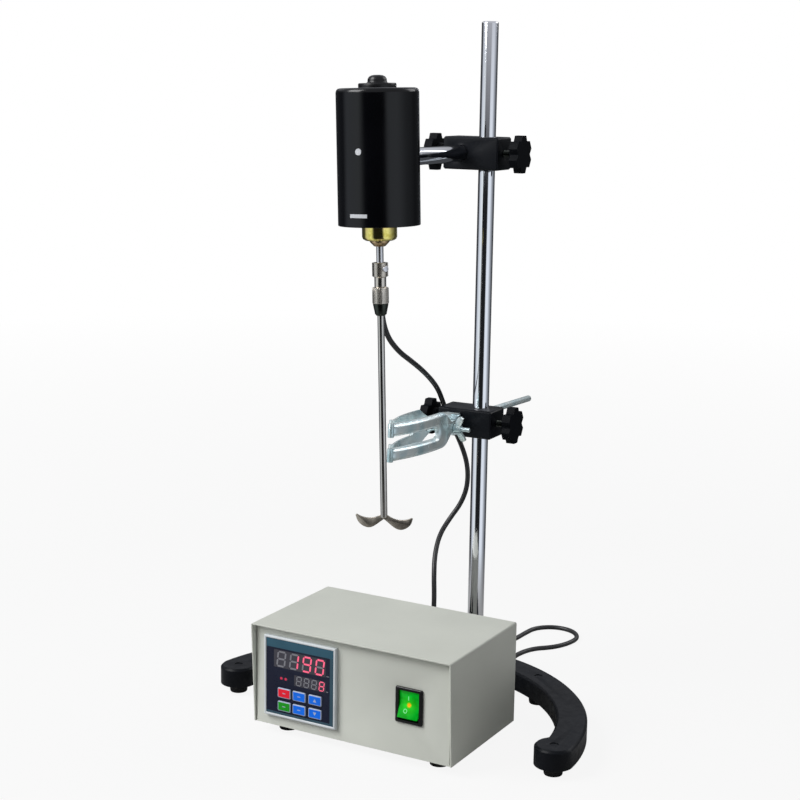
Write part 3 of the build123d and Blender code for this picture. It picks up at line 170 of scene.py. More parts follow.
class Shade:
    def __init__(self, name, world=None):
        self.material = world or bpy.data.materials.new(name)
        self.material.use_nodes = True
        self.tree = self.material.node_tree
        self.tree.nodes.clear()
        self.place = None

    def add(self, kind, settings=None, values=None, output=0):
        node = self.tree.nodes.new(kind)
        for key, value in (settings or {}).items():
            if key == "stops":
                ramp = node.color_ramp.elements
                while len(ramp) < len(value):
                    ramp.new(0.5)
                for element, (position, colour) in zip(ramp, value):
                    element.position = position
                    element.color = (*colour, 1.0) if len(colour) == 3 else colour
            else:
                setattr(node, key, value)
        for key, value in (values or {}).items():
            if isinstance(value, Signal):
                self.tree.links.new(value.socket, node.inputs[key])
            else:
                node.inputs[key].default_value = value
        return Signal(self, node.outputs[output] if len(node.outputs) else None)

    def where(self, scale=(1, 1, 1)):
        if self.place is None:
            self.place = self.add("ShaderNodeTexCoord", output=3)
        if tuple(scale) == (1, 1, 1):
            return self.place
        return self.add("ShaderNodeMapping", {}, {"Vector": self.place, "Scale": scale})

    def noise(self, size, detail=2.0, roughness=0.5, scale=(1, 1, 1)):
        return self.add(
            "ShaderNodeTexNoise", {},
            {"Vector": self.where(scale), "Scale": 1.0 / size, "Detail": detail,
             "Roughness": roughness},
        )

    def ramp(self, factor, *stops):
        return self.add("ShaderNodeValToRGB", {"stops": stops}, {0: factor})

    def span(self, factor, low, high, fromLow=0.3, fromHigh=0.7):
        return self.add(
            "ShaderNodeMapRange", {},
            {"Value": factor, "From Min": fromLow, "From Max": fromHigh,
             "To Min": low, "To Max": high},
        )

    def mix(self, factor, first, second):
        first = (*first, 1.0) if isinstance(first, tuple) else first
        second = (*second, 1.0) if isinstance(second, tuple) else second
        return self.add(
            "ShaderNodeMix", {"data_type": "RGBA"}, {0: factor, 6: first, 7: second}, 2
        )

    def bump(self, height, distance, under=None):
        values = {"Height": height, "Distance": distance, "Strength": 1.0}
        if under is not None:
            values["Normal"] = under
        return self.add("ShaderNodeBump", {}, values)

    def surface(self, colour, roughness, **more):
        names = {
            "metallic": "Metallic", "normal": "Normal", "glow": "Emission Color",
            "glowStrength": "Emission Strength", "specular": "Specular IOR Level",
        }
        colour = (*colour, 1.0) if isinstance(colour, tuple) else colour
        values = {"Base Color": colour, "Roughness": roughness}
        for key, value in more.items():
            values[names[key]] = (*value, 1.0) if isinstance(value, tuple) else value
        shader = self.add("ShaderNodeBsdfPrincipled", {}, values)
        self.add("ShaderNodeOutputMaterial", {}, {"Surface": shader})
        return self.material


# the sizes of the noises and the depths of the bumps are in metres
def lighter(colour, amount):
    return tuple(min(1.0, part * amount) for part in colour)


def metalFinish(name, colour, roughness, blotch=0.10, blotchSize=0.02, scratch=0.05, brush=None):
    shade = Shade(name)
    clouds = shade.noise(blotchSize, 4.0)
    tint = shade.mix(
        shade.span(clouds, 0, 1), lighter(colour, 1 - blotch), lighter(colour, 1 + blotch)
    )
    streaks = shade.noise(0.0008, 3.0, 0.6, brush or (1, 1, 1))
    rough = shade.span(streaks, roughness * (1 - scratch), roughness * (1 + scratch))
    rough = rough + shade.span(clouds, -0.03, 0.03) * roughness
    normal = shade.bump(streaks, 0.000012)
    return shade.surface(tint, rough, metallic=1.0, normal=normal)


def plasticFinish(name, colour, roughness, grain=0.0006, depth=0.00003, **more):
    shade = Shade(name)
    speck = shade.noise(grain, 3.0)
    clouds = shade.noise(0.03, 3.0)
    tint = shade.mix(shade.span(clouds, 0, 1), lighter(colour, 0.9), lighter(colour, 1.1))
    rough = shade.span(speck, roughness * 0.88, roughness * 1.12)
    normal = shade.bump(speck, depth)
    return shade.surface(tint, rough, normal=normal, **more)


def castFinish(name, colour, roughness):
    shade = Shade(name)
    peel = shade.noise(0.0016, 3.0)
    pits = shade.noise(0.006, 5.0, 0.6)
    clouds = shade.noise(0.04, 3.0)
    tint = shade.mix(shade.span(clouds, 0, 1), lighter(colour, 0.8), lighter(colour, 1.3))
    rough = shade.span(pits, roughness * 0.8, roughness * 1.25)
    normal = shade.bump(peel, 0.00006, under=shade.bump(pits, 0.00015))
    return shade.surface(tint, rough, specular=0.12, normal=normal)


def zincFinish(name):
    shade = Shade(name)
    clouds = shade.noise(0.022, 2.0, 0.4)
    haze = shade.noise(0.006, 3.0)
    tint = shade.ramp(
        clouds, (0.30, (0.48, 0.69, 0.75)), (0.46, (0.75, 0.88, 0.91)),
        (0.58, (0.87, 0.94, 0.94)), (0.72, (0.56, 0.74, 0.81))
    )
    tint = shade.mix(shade.span(haze, 0.0, 0.15), tint, (0.67, 0.81, 0.77))
    rough = shade.span(haze, 0.20, 0.28)
    normal = shade.bump(shade.noise(0.0009, 2.0), 0.000015)
    return shade.surface(tint, rough, metallic=0.45, normal=normal)


def goldFinish(name):
    shade = Shade(name)
    clouds = shade.noise(0.008, 4.0, 0.6)
    tint = shade.ramp(
        clouds, (0.32, (0.62, 0.52, 0.10)), (0.48, (0.86, 0.76, 0.24)),
        (0.60, (0.80, 0.58, 0.22)), (0.72, (0.60, 0.66, 0.16))
    )
    rough = shade.span(shade.noise(0.001, 3.0), 0.10, 0.18)
    normal = shade.bump(shade.noise(0.0012, 3.0), 0.00001)
    return shade.surface(tint, rough, metallic=1.0, normal=normal)


def glossEnamel(name, colour):
    shade = Shade(name)
    peel = shade.noise(0.0035, 2.0)
    clouds = shade.noise(0.05, 2.0)
    tint = shade.mix(shade.span(clouds, 0, 1), lighter(colour, 0.85), lighter(colour, 1.2))
    rough = shade.span(clouds, 0.17, 0.22)
    normal = shade.bump(peel, 0.00002)
    return shade.surface(tint, rough, specular=0.32, normal=normal)


def powderCoat(name, colour):
    shade = Shade(name)
    peel = shade.noise(0.0009, 3.0)
    clouds = shade.noise(0.05, 3.0)
    tint = shade.mix(shade.span(clouds, 0, 1), lighter(colour, 0.97), lighter(colour, 1.02))
    rough = shade.span(peel, 0.42, 0.56)
    normal = shade.bump(peel, 0.00005)
    return shade.surface(tint, rough, normal=normal)


def cordSheath(name, colour):
    shade = Shade(name)
    speck = shade.noise(0.0012, 3.0)
    clouds = shade.noise(0.02, 3.0)
    tint = shade.mix(shade.span(clouds, 0, 1), lighter(colour, 0.8), lighter(colour, 1.35))
    rough = shade.span(speck, 0.34, 0.48)
    return shade.surface(tint, rough, normal=shade.bump(speck, 0.00004))


def glowing(name, colour, strength):
    shade = Shade(name)
    clouds = shade.noise(0.004, 2.0)
    tint = shade.mix(shade.span(clouds, 0, 1), lighter(colour, 0.85), lighter(colour, 1.1))
    return shade.surface(tint, 0.35, glow=tint, glowStrength=strength)


# places on the rocker's face, in millimetres along the case and up from the bench
rockerLook = {
    "ring": (150.7, 49.6), "ringWidth": (1.2, 1.8), "bar": (152.6, 60.2), "barHalf": (0.35, 1.8),
    "lamp": (153.3, 54.6), "lampFade": (0.6, 2.4), "halo": (153.0, 54.0), "haloFade": (1.0, 9.0),
}


def rockerFinish(name):
    shade = Shade(name)  # lit from inside, with the marks moulded into its face
    look = rockerLook
    place = shade.where()
    x, y, z = (shade.add("ShaderNodeSeparateXYZ", {}, {0: place}, axis) for axis in range(3))
    across = x * boxAlong.x + y * boxAlong.y - case.translation.dot(boxAlong) * mm

    def spread(centre):
        dx, dz = across - centre[0] * mm, z - centre[1] * mm
        return (dx * dx + dz * dz) ** 0.5

    def fade(key, strength):
        near, far = look[key + "Fade"]
        return shade.span(spread(look[key]), strength, 0.0, near * mm, far * mm)

    ring = spread(look["ring"])
    inner, outer = look["ringWidth"]
    ringMark = (ring > inner * mm) * (ring < outer * mm)
    barX, barZ = look["bar"]
    halfWide, halfTall = look["barHalf"]
    barMark = (abs(across - barX * mm) < halfWide * mm) * (abs(z - barZ * mm) < halfTall * mm)
    clouds = shade.noise(0.006, 2.0)
    green = shade.mix(shade.span(clouds, 0, 1), (0.0, 0.22, 0.004), (0.0, 0.40, 0.02))
    tint = shade.mix(fade("halo", 0.45), green, (0.03, 0.62, 0.0))
    tint = shade.mix(fade("lamp", 1.0), tint, (0.95, 0.30, 0.0))
    tint = shade.mix((ringMark + barMark) * 0.6, tint, (0.30, 0.80, 0.42))
    rough = shade.span(shade.noise(0.002, 2.0), 0.16, 0.22)
    return shade.surface(tint, rough, specular=0.2, glow=tint, glowStrength=0.5)


finishes = {
    "base_black": castFinish("castIronBlack", (0.0042, 0.0052, 0.0075), 0.34),
    "foot_rubber": plasticFinish("footRubber", (0.008, 0.008, 0.009), 0.65, specular=0.3),
    "rod_chrome": metalFinish("chromePlate", (0.80, 0.81, 0.84), 0.055, 0.02, 0.05, 0.3),
    "zinc_steel": zincFinish("zincPlate"),
    "plain_steel": metalFinish("plainSteel", (0.62, 0.62, 0.64), 0.28),
    "head_black": plasticFinish(
        "satinBlackPaint", (0.0035, 0.0045, 0.0070), 0.42, 0.0009, 0.00005, specular=0.16
    ),
    "knob_black": plasticFinish(
        "blackKnobPlastic", (0.0028, 0.0034, 0.0050), 0.5, 0.0007, specular=0.05
    ),
    "motor_black": glossEnamel("motorEnamel", (0.0012, 0.0014, 0.0024)),
    "cap_black": plasticFinish("capPlastic", (0.004, 0.004, 0.005), 0.30, specular=0.35),
    "passivated_gold": goldFinish("yellowPassivation"),
    "bronze": metalFinish("plainBronze", (0.46, 0.33, 0.19), 0.30, 0.2, 0.004),
    "chuck_nickel": metalFinish("chuckNickel", (0.62, 0.58, 0.52), 0.22, 0.12, 0.006),
    "nose_dark": metalFinish("blackenedSteel", (0.045, 0.052, 0.045), 0.30, 0.2, 0.006),
    "stir_steel": metalFinish(
        "polishedStainless", (0.52, 0.50, 0.47), 0.16, 0.10, 0.03, 0.25, (1, 1, 0.04)
    ),
    "blade_steel": metalFinish("bladeStainless", (0.36, 0.32, 0.27), 0.34, 0.25, 0.006),
    "case_cream": powderCoat("paleGreyGreenCoat", (0.66, 0.68, 0.62)),
    "bezel_silver": plasticFinish("silverBezel", (0.68, 0.72, 0.75), 0.38, 0.0005, 0.00001),
    "face_navy": plasticFinish(
        "navyFilm", (0.0085, 0.011, 0.030), 0.3, 0.001, 0.000004, specular=0.2
    ),
    "display_dark": plasticFinish(
        "displayWindow", (0.060, 0.058, 0.074), 0.2, 0.001, 0.0, specular=0.2
    ),
    "meter_black": plasticFinish("meterCase", (0.02, 0.02, 0.02), 0.5),
    "key_red": plasticFinish("redKey", (0.95, 0.010, 0.035), 0.35, specular=0.3),
    "key_green": plasticFinish("greenKey", (0.006, 0.34, 0.008), 0.35, specular=0.3),
    "key_blue": plasticFinish("blueKey", (0.0005, 0.17, 0.95), 0.35, specular=0.3),
    "switch_black": plasticFinish("switchBezel", (0.004, 0.004, 0.005), 0.28, specular=0.3),
    "rocker_green": rockerFinish("rockerGreen"),
    "board_green": plasticFinish("boardResist", (0.02, 0.16, 0.07), 0.35),
    "iron_core": metalFinish("laminatedIron", (0.16, 0.15, 0.14), 0.45),
    "carbon": plasticFinish("carbonBrush", (0.03, 0.03, 0.03), 0.6),
    "cord_black": cordSheath("cordSheath", (0.012, 0.012, 0.013)),
    "plug_black": plasticFinish("plugPlastic", (0.014, 0.014, 0.015), 0.5),
}
extras = {
    "markWhite": plasticFinish("whiteMark", (0.62, 0.64, 0.68), 0.5, 0.0008),
    "tealBand": plasticFinish("tealBand", (0.035, 0.105, 0.155), 0.35, 0.001, 0.0, specular=0.2),
    "stripBlue": plasticFinish(
        "blueGreyStrip", (0.04, 0.085, 0.12), 0.35, 0.001, 0.0, specular=0.2
    ),
    "litRed": glowing("litSegment", (0.80, 0.10, 0.19), 0.65),
    "unlit": plasticFinish("unlitSegment", (0.22, 0.22, 0.25), 0.4, 0.002, 0.0),
    "redLamp": glowing("redLamp", (0.45, 0.012, 0.05), 0.5),
    "keyLine": plasticFinish("keyBorder", (0.42, 0.50, 0.66), 0.4, 0.001, 0.0),
}
print("finishes made:", len(finishes) + len(extras))


# making pieces
def finishPiece(name, bm, finish, body, replaced=(), smoothBelow=38.0):
    mesh = bpy.data.meshes.new(name)
    bm.to_mesh(mesh)
    bm.free()
    for face in mesh.polygons:
        face.use_smooth = True
    mesh.set_sharp_from_angle(angle=radians(smoothBelow))
    mesh.materials.append(finish)
    piece = bpy.data.objects.new(name, mesh)
    scene.collection.objects.link(piece)
    if body:
        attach(piece, body)
    if replaced:
        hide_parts(*replaced)
    return piece


def placed(bm, place):
    bmesh.ops.transform(bm, matrix=Matrix.Scale(mm, 4) @ place, verts=bm.verts)


def bevelled(bm, edges, width, segments=2):
    bmesh.ops.bevel(
        bm, geom=edges, offset=width, offset_type="OFFSET", segments=segments, profile=0.5,
        affect="EDGES", clamp_overlap=True, material=-1, loop_slide=True,
    )


def sharpEdges(bm, angle=30.0):
    limit = radians(angle)
    return [
        edge for edge in bm.edges
        if len(edge.link_faces) == 2 and edge.calc_face_angle(0) > limit
    ]


def lathed(profile, steps=96):
    bm = bmesh.new()  # the profile is (radius, height); ends on the axis close the shape
    points = [bm.verts.new((radius, 0, height)) for radius, height in profile]
    edges = [bm.edges.new(pair) for pair in zip(points, points[1:])]
    bmesh.ops.spin(
        bm, geom=points + edges, cent=(0, 0, 0), axis=(0, 0, 1), angle=2 * pi, steps=steps,
        use_merge=True,
    )
    bmesh.ops.remove_doubles(bm, verts=bm.verts, dist=1e-4)
    bmesh.ops.recalc_face_normals(bm, faces=bm.faces)
    return bm


def softProfile(profile, cut=0.3):
    softened = [profile[0]]  # a small flat across each corner, so that edges catch the light
    for before, here, after in zip(profile, profile[1:], profile[2:]):
        for other in (before, after):
            dr, dz = other[0] - here[0], other[1] - here[1]
            reach = hypot(dr, dz)
            step = min(cut, reach * 0.3)
            softened.append((here[0] + dr * step / reach, here[1] + dz * step / reach))
    softened.append(profile[-1])
    return softened


def lathePiece(name, node, place, body, look):
    profile = softProfile(look["profile"], look.get("cut", 0.3))
    bm = lathed(profile, look.get("steps", 96))
    placed(bm, place)
    return finishPiece(name, bm, finishes[slotOf[node]], body, (node,))


def polished(node, body, width=0.3, segments=2, angle=30.0, finish=None, smoothBelow=38.0):
    bm = bmesh.new()  # the solid's own mesh, with the edges sharper than the angle softened
    bm.from_mesh(nodes[node].data)
    bmesh.ops.remove_doubles(bm, verts=bm.verts, dist=2e-6)
    bmesh.ops.dissolve_limit(bm, angle_limit=radians(0.8), verts=bm.verts, edges=bm.edges)
    if width:
        bevelled(bm, sharpEdges(bm, angle), width * mm, segments)
    bmesh.ops.remove_doubles(bm, verts=bm.verts, dist=2e-6)
    return finishPiece(
        node + "Piece", bm, finish or finishes[slotOf[node]], body, (node,),
        smoothBelow,
    )


def platePiece(name, outline, thickness, place, finish, body, edge=0.0):
    bm = bmesh.new()  # a flat outline in the place's XY plane, given thickness along its Z
    corners = [bm.verts.new((x, y, 0)) for x, y in outline]
    face = bm.faces.new(corners)
    raised = bmesh.ops.extrude_face_region(bm, geom=[face])
    top = [item for item in raised["geom"] if isinstance(item, bmesh.types.BMVert)]
    bmesh.ops.translate(bm, vec=(0, 0, thickness), verts=top)
    bmesh.ops.recalc_face_normals(bm, faces=bm.faces)
    if edge:
        bevelled(bm, [e for e in bm.edges if all(v in top for v in e.verts)], edge, 1)
    placed(bm, place)
    return finishPiece(name, bm, finish, body)


def rectangle(left, bottom, right, top):
    return [(left, bottom), (right, bottom), (right, top), (left, top)]


def roundOutline(x, y, radius, step):
    angles = [radians(angle) for angle in range(0, 360, step)]
    return [(x + radius * cos(angle), y + radius * sin(angle)) for angle in angles]


# cords
cordLook = {
    "leadDiameter": 4.6, "mainsDiameter": 4.6, "leadDrop": 22.0, "leadEnd": -60.5,
    "plugTail": (-75.0, 49.0, 32.0), "glandTail": (-125.0, 22.0, 28.0), "straight": (20.0, 18.0),
    "curveSteps": 10, "bench": 2.4,
}


def smoothLine(name, points):
    curve = bpy.data.curves.new(name, "CURVE")
    curve.dimensions = "3D"
    curve.resolution_u = cordLook["curveSteps"]
    spline = curve.splines.new("NURBS")
    spline.points.add(len(points) - 1)
    for target, point in zip(spline.points, points):
        target.co = (*(Vector(point) * mm), 1.0)
    spline.order_u = 3
    spline.use_endpoint_u = True
    return bpy.data.objects.new(name, curve)


def lineAlong(name, points):
    guide = smoothLine(name + "Guide", points)
    mesh = bpy.data.meshes.new_from_object(guide)
    path = [vertex.co.copy() for vertex in mesh.vertices]
    bpy.data.meshes.remove(mesh)
    bpy.data.objects.remove(guide)
    return path


def tubeAlong(path, radius, sides=20):
    bm = bmesh.new()
    heading = (path[1] - path[0]).normalized()
    across = heading.orthogonal().normalized()
    rings = []
    for index, point in enumerate(path):
        ahead = path[min(index + 1, len(path) - 1)] - path[max(index - 1, 0)]
        newHeading = ahead.normalized()
        across = (heading.rotation_difference(newHeading) @ across).normalized()
        heading = newHeading
        ring = bmesh.ops.create_circle(bm, cap_ends=False, segments=sides, radius=radius)
        place = axesAt(point, across, heading)
        bmesh.ops.transform(bm, matrix=place, verts=ring["verts"])
        rings.append(ring["verts"])
    for pair in zip(rings, rings[1:]):
        loops = [set(ring) for ring in pair]
        near = {edge for ring in pair for vertex in ring for edge in vertex.link_edges}
        edges = [edge for edge in near if any(loop.issuperset(edge.verts) for loop in loops)]
        bmesh.ops.bridge_loops(bm, edges=edges)
    for ring in (rings[0], rings[-1]):
        bmesh.ops.contextual_create(bm, geom=ring)
    bmesh.ops.recalc_face_normals(bm, faces=bm.faces)
    return bm


def lengthOf(path):
    return sum((b - a).length for a, b in zip(path, path[1:]))


leadStart = drive @ Vector((layout["leadX"], layout["leadY"], cordLook["leadEnd"]))
plugTail = back @ Vector(cordLook["plugTail"])
overHead = fromRod(-41.5, -1.0, 267.0)
behindHead = fromRod(-46.5, 21.5, 243.0)
leadMeeting = (overHead + behindHead) / 2
upperLeadRoute = [
    leadStart,
    leadStart - driveUp * cordLook["leadDrop"],
    fromRod(-14.0, -149.4, 376.0),
    fromRod(-12.6, -143.7, 349.0),
    fromRod(-10.4, -127.0, 332.0),
    fromRod(-10.2, -104.0, 319.5),
    fromRod(-13.5, -80.0, 307.5),
    fromRod(-19.5, -54.0, 294.0),
    fromRod(-29.5, -27.0, 280.5),
    overHead,
    leadMeeting,
]
lowerLeadRoute = [
    leadMeeting,
    behindHead,
    fromRod(-35.5, 24.0, 223.0),
    fromRod(-27.0, 24.8, 202.0),
    fromRod(-26.2, 24.8, 181.0),
    fromRod(-31.5, 22.5, 163.0),
    fromRod(-39.5, 14.5, 148.0),
    fromRod(-41.0, -1.0, 135.5),
    fromRod(-36.5, -16.5, 120.0),
    fromRod(-30.5, -27.0, 103.0),
    fromRod(-27.5, -30.5, 83.0),
    fromRod(-26.6, -33.0, 62.0),
    plugTail + boxAcross * cordLook["straight"][0],
    plugTail,
]


def addLead(name, route, node):
    path = lineAlong(name, route)
    bm = tubeAlong(path, cordLook["leadDiameter"] / 2 * mm)
    piece = finishPiece(
        name, bm, finishes["cord_black"], None, (node,), smoothBelow=60
    )
    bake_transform(piece)
    return piece


addLead(
    "motorLeadUpper", upperLeadRoute, "motor_lead_upper",
)
addLead(
    "motorLeadLower", lowerLeadRoute, "motor_lead_lower",
)

bench = cordLook["bench"]
glandTail = back @ Vector(cordLook["glandTail"])
mainsRoute = [
    glandTail,
    glandTail + boxAcross * cordLook["straight"][1],
    fromRod(20.5, -28.0, 30.0),
    fromRod(20.5, -11.0, 36.5),
    fromRod(20.5, 8.0, 36.5),
    fromRod(19.5, 25.0, 29.0),
    fromRod(16.0, 41.0, 15.0),
    fromRod(10.0, 57.0, 4.6),
    fromRod(4.5, 77.0, bench),
    fromRod(9.0, 100.0, bench),
    fromRod(24.5, 116.0, bench),
    fromRod(32.0, 136.0, bench),
    fromRod(32.0, 157.0, bench),
    fromRod(17.5, 172.5, bench),
    fromRod(-3.5, 173.0, bench),
    fromRod(-18.5, 158.0, bench),
    fromRod(-19.5, 137.0, bench),
    fromRod(-19.0, 115.0, bench),
    fromRod(-24.0, 93.0, bench),
    fromRod(-30.5, 72.0, bench),
    fromRod(-32.4, 52.0, bench),
]
# each turn is its radius and its layer, from the bench up
coil = {
    "x": -62.0, "y": 40.0, "points": 12, "lastPart": 0.25, "crossing": 0.25, "swell": 1.02,
    "turns": [(29.6, 0), (25.0, 0), (20.4, 0), (20.4, 1), (25.0, 1), (29.6, 1), (25.0, 2),
              (29.6, 2)],
    "end": (-77.0, 10.4, 7.5), "plugSide": (6, 0, 1.5),
}


def coilPoints():
    points = []
    turns, steps = coil["turns"], coil["points"]
    total = int((len(turns) + coil["lastPart"]) * steps)
    for index in range(1, total + 1):
        share = index / steps
        here = min(int(share), len(turns) - 1)
        after = min(here + 1, len(turns) - 1)
        slide = min(max((share - here - 1 + coil["crossing"]) / coil["crossing"], 0), 1)
        radius = (turns[here][0] * (1 - slide) + turns[after][0] * slide) * coil["swell"]
        layer = turns[here][1] * (1 - slide) + turns[after][1] * slide
        angle = -2 * pi * share
        x, y = coil["x"] + radius * cos(angle), coil["y"] + radius * sin(angle)
        points.append(fromRod(x, y, bench + layer * cordLook["mainsDiameter"]))
    return points


mainsEnd = fromRod(*coil["end"])
plugSide = mainsEnd + Vector(coil["plugSide"])
mainsPath = lineAlong("mainsCord", mainsRoute + coilPoints() + [plugSide, mainsEnd])
mainsCord = finishPiece(
    "mainsCord", tubeAlong(mainsPath, cordLook["mainsDiameter"] / 2 * mm, sides=16),
    finishes["cord_black"], "stand", ("mains_cord", "mains_coil"),
    smoothBelow=60,
)
print("cords laid:", round(lengthOf(mainsPath), 3), "m of mains cord")

# stand
rodPlace = axesAt(rodFoot, (1, 0, 0), up)
standRodLook = {
    "profile": [(0, 9.4), (5, 9.4), (5, 22), (7.5, 22), (7.5, 609.4), (6.9, 610.3), (5.6, 610.8),
                (0, 610.8)],
    "cut": 0.15,
}
lathePiece("standRod", "stand_rod", rodPlace, "stand", standRodLook)
polished("base_casting", "stand", width=1.2, segments=3, angle=35)
polished("base_feet", "stand", width=0.8, segments=2, angle=40)
polished(
    "base_foot_screws", "stand", width=0.4, segments=2, angle=40, finish=finishes["base_black"]
)
polished("rod_nut", "stand", width=0.3, segments=1, angle=40)
print("stand done")


# boss heads and knobs
knobLook = {
    "radius": 17.0, "valley": 13.2, "tipAngle": 13.5, "thickness": 7.7, "neckRadius": 8.0,
    "neck": 3.8, "standoff": 7.5, "bevel": 1.1, "pitch": 1.0,
    "lobes": 6, "valleyAngles": (27.0, 33.0), "headHalf": 17.0, "studRadius": 2.99,
    "threadDepth": 0.45, "overlap": 0.5, "clear": 0.1, "neckEdge": (0.8, 1.2),
    "neckSpread": 0.6, "neckOverlap": 1.0,
}


def starMesh():
    look = knobLook
    outline = []
    for lobe in range(look["lobes"]):
        middle = 360.0 / look["lobes"] * lobe
        for offset, radius in (
            (-look["tipAngle"], look["radius"]), (look["tipAngle"], look["radius"]),
            (look["valleyAngles"][0], look["valley"]), (look["valleyAngles"][1], look["valley"]),
        ):
            angle = radians(middle + offset)
            outline.append((radius * cos(angle), radius * sin(angle)))
    bm = bmesh.new()
    face = bm.faces.new([bm.verts.new((x, y, 0)) for x, y in outline])
    raised = bmesh.ops.extrude_face_region(bm, geom=[face])
    top = [item for item in raised["geom"] if isinstance(item, bmesh.types.BMVert)]
    bmesh.ops.translate(bm, vec=(0, 0, look["thickness"]), verts=top)
    bmesh.ops.recalc_face_normals(bm, faces=bm.faces)
    upright = [e for e in bm.edges if abs(e.verts[0].co.z - e.verts[1].co.z) > 1]
    bevelled(bm, upright, look["bevel"], 3)
    rims = [e for e in bm.edges if e.calc_face_angle(0) > radians(60)]
    bevelled(bm, rims, look["bevel"], 3)
    return bm


def joined(first, second):
    mesh = bpy.data.meshes.new("joining")
    second.to_mesh(mesh)
    second.free()
    first.from_mesh(mesh)
    bpy.data.meshes.remove(mesh)


def threadProfile(length):
    look = knobLook
    radius, pitch = look["studRadius"], look["pitch"]
    core = radius - look["threadDepth"]
    profile = [(0, 0), (radius - look["overlap"], 0)]
    for index in range(int(length / pitch)):
        low = index * pitch
        profile += [(core, low + pitch * 0.1), (radius, low + pitch * 0.5),
                    (core, low + pitch * 0.9)]
    return profile + [(radius - look["overlap"], length), (0, length)]


def addKnob(node, head, side, boreX, held):
    look = knobLook
    outward = (head.to_3x3() @ Vector((1, 0, 0))) * side
    end = head @ Vector((boreX + side * look["headHalf"], 0, 0))
    neck = axesAt(end + outward * look["standoff"], up, outward)
    radius, top = look["neckRadius"], look["neck"] + look["neckOverlap"]
    inward, rise = look["neckEdge"]
    profile = [(0, -0.01), (radius - inward, -0.01), (radius, rise),
               (radius + look["neckSpread"], top), (0, top)]
    bm = lathed(softProfile(profile), steps=48)
    star = starMesh()
    bmesh.ops.translate(star, vec=(0, 0, look["neck"]), verts=star.verts)
    joined(bm, star)
    placed(bm, neck)
    finishPiece(
        node + "Star", bm, finishes["knob_black"], node, (node,), smoothBelow=32,
    )
    start = held + look["clear"]
    stud = axesAt(head @ Vector((boreX + side * start, 0, 0)), up, outward)
    length = look["headHalf"] - start + look["standoff"] + look["overlap"]
    thread = lathed(threadProfile(length), steps=40)
    placed(thread, stud)
    finishPiece(
        node + "Stud", thread, finishes["nose_dark"], node, (node,),
        smoothBelow=50,
    )


# the radius of what each stud presses on: the stand's rod, the motor's arm, the clamp's rod
heldRadius = {"stand": 7.5, "upper": 7.5, "lower": 3.1}
for level, head in (("upper", upper), ("lower", lower)):
    polished(level + "_boss_head", level + "_head", width=0.35, segments=2, angle=25)
    addKnob(level + "_rod_knob", head, 1, 0, heldRadius["stand"])
    addKnob(level + "_side_knob", head, -1, layout["sideBore"], heldRadius[level])
print("boss heads done")

# motor
motorCoverLook = {
    "profile": [(32.25, -53.1), (33.75, -53.1), (33.75, 53.4), (33.3, 55.3), (32.0, 56.6),
                (30.2, 57.0), (0, 57.0), (0, 55.5), (32.25, 55.5), (32.25, -53.1)],
    "cut": 0.25, "steps": 160,
}
lathePiece("motorCover", "motor_cover", drive, "motor", motorCoverLook)
topCapLook = {
    "profile": [(0, 57.0), (15.5, 57.0), (15.5, 60.0), (14.9, 60.8), (9.2, 60.9), (8.2, 61.3),
                (7.9, 62.0), (7.7, 64.0), (6.6, 65.9), (4.6, 66.9), (2.4, 67.25), (0, 67.3)],
    "cut": 0.12, "steps": 80,
}
lathePiece("topCap", "top_cap", drive, "motor", topCapLook)
endPlateLook = {
    "profile": [(4.0, -65.6), (11.4, -65.6), (13.6, -64.4), (14.4, -62.6), (14.4, -51.5),
                (32.25, -51.5), (32.25, -48.5), (9.5, -48.5), (9.5, -61.6), (4.0, -61.6),
                (4.0, -65.6)],
    "cut": 0.25, "steps": 120,
}
lathePiece("endPlate", "end_plate", drive, "motor", endPlateLook)
outputBushLook = {
    "profile": [(3.02, -70.4), (4.6, -70.4), (8.1, -66.8), (8.1, -65.6), (3.02, -65.6),
                (3.02, -70.4)],
    "cut": 0.15, "steps": 64,
}
lathePiece("outputBush", "output_bush", drive, "motor", outputBushLook)
polished("end_plate_screws", "motor", width=0.3, segments=2, angle=40)
leadGrommetLook = {
    "profile": [(0, -51.5), (4.6, -51.5), (4.5, -53.0), (4.1, -53.4), (4.3, -53.8), (4.2, -55.0),
                (3.8, -55.4), (4.0, -55.8), (3.9, -57.0), (3.5, -57.4), (3.6, -57.8),
                (3.2, -60.5), (0, -60.5)],
    "cut": 0.1, "steps": 40,
}
leadHole = drive @ Vector((layout["leadX"], layout["leadY"], 0))
grommetPlace = axesAt(leadHole, driveSide, driveUp)
lathePiece("leadGrommet", "lead_grommet", grommetPlace, "motor", leadGrommetLook)
motorArmLook = {
    "profile": [(0, 33.0), (13.0, 33.0), (13.0, 40.4), (12.0, 41.75), (7.5, 41.75), (7.5, 202.8),
                (6.3, 204.0), (0, 204.0)],
    "cut": 0.25, "steps": 96,
}
lathePiece("motorArm", "motor_arm", armLine, "motor", motorArmLook)
motorShaftLook = {
    "profile": [(0, -92.7), (3.0, -92.7), (3.0, 55.0), (0, 55.0)],
    "steps": 48,
}
lathePiece("motorShaft", "motor_shaft", drive, "rotor", motorShaftLook)


markLook = {
    "radius": 33.75, "sink": 0.03, "thickness": 0.12, "cuts": 3,
    "dotRadius": 2.7, "dotPlace": (7.0, -90.0), "barHalf": (7.9, 1.5), "barPlace": (-43.8, -92.0),
}


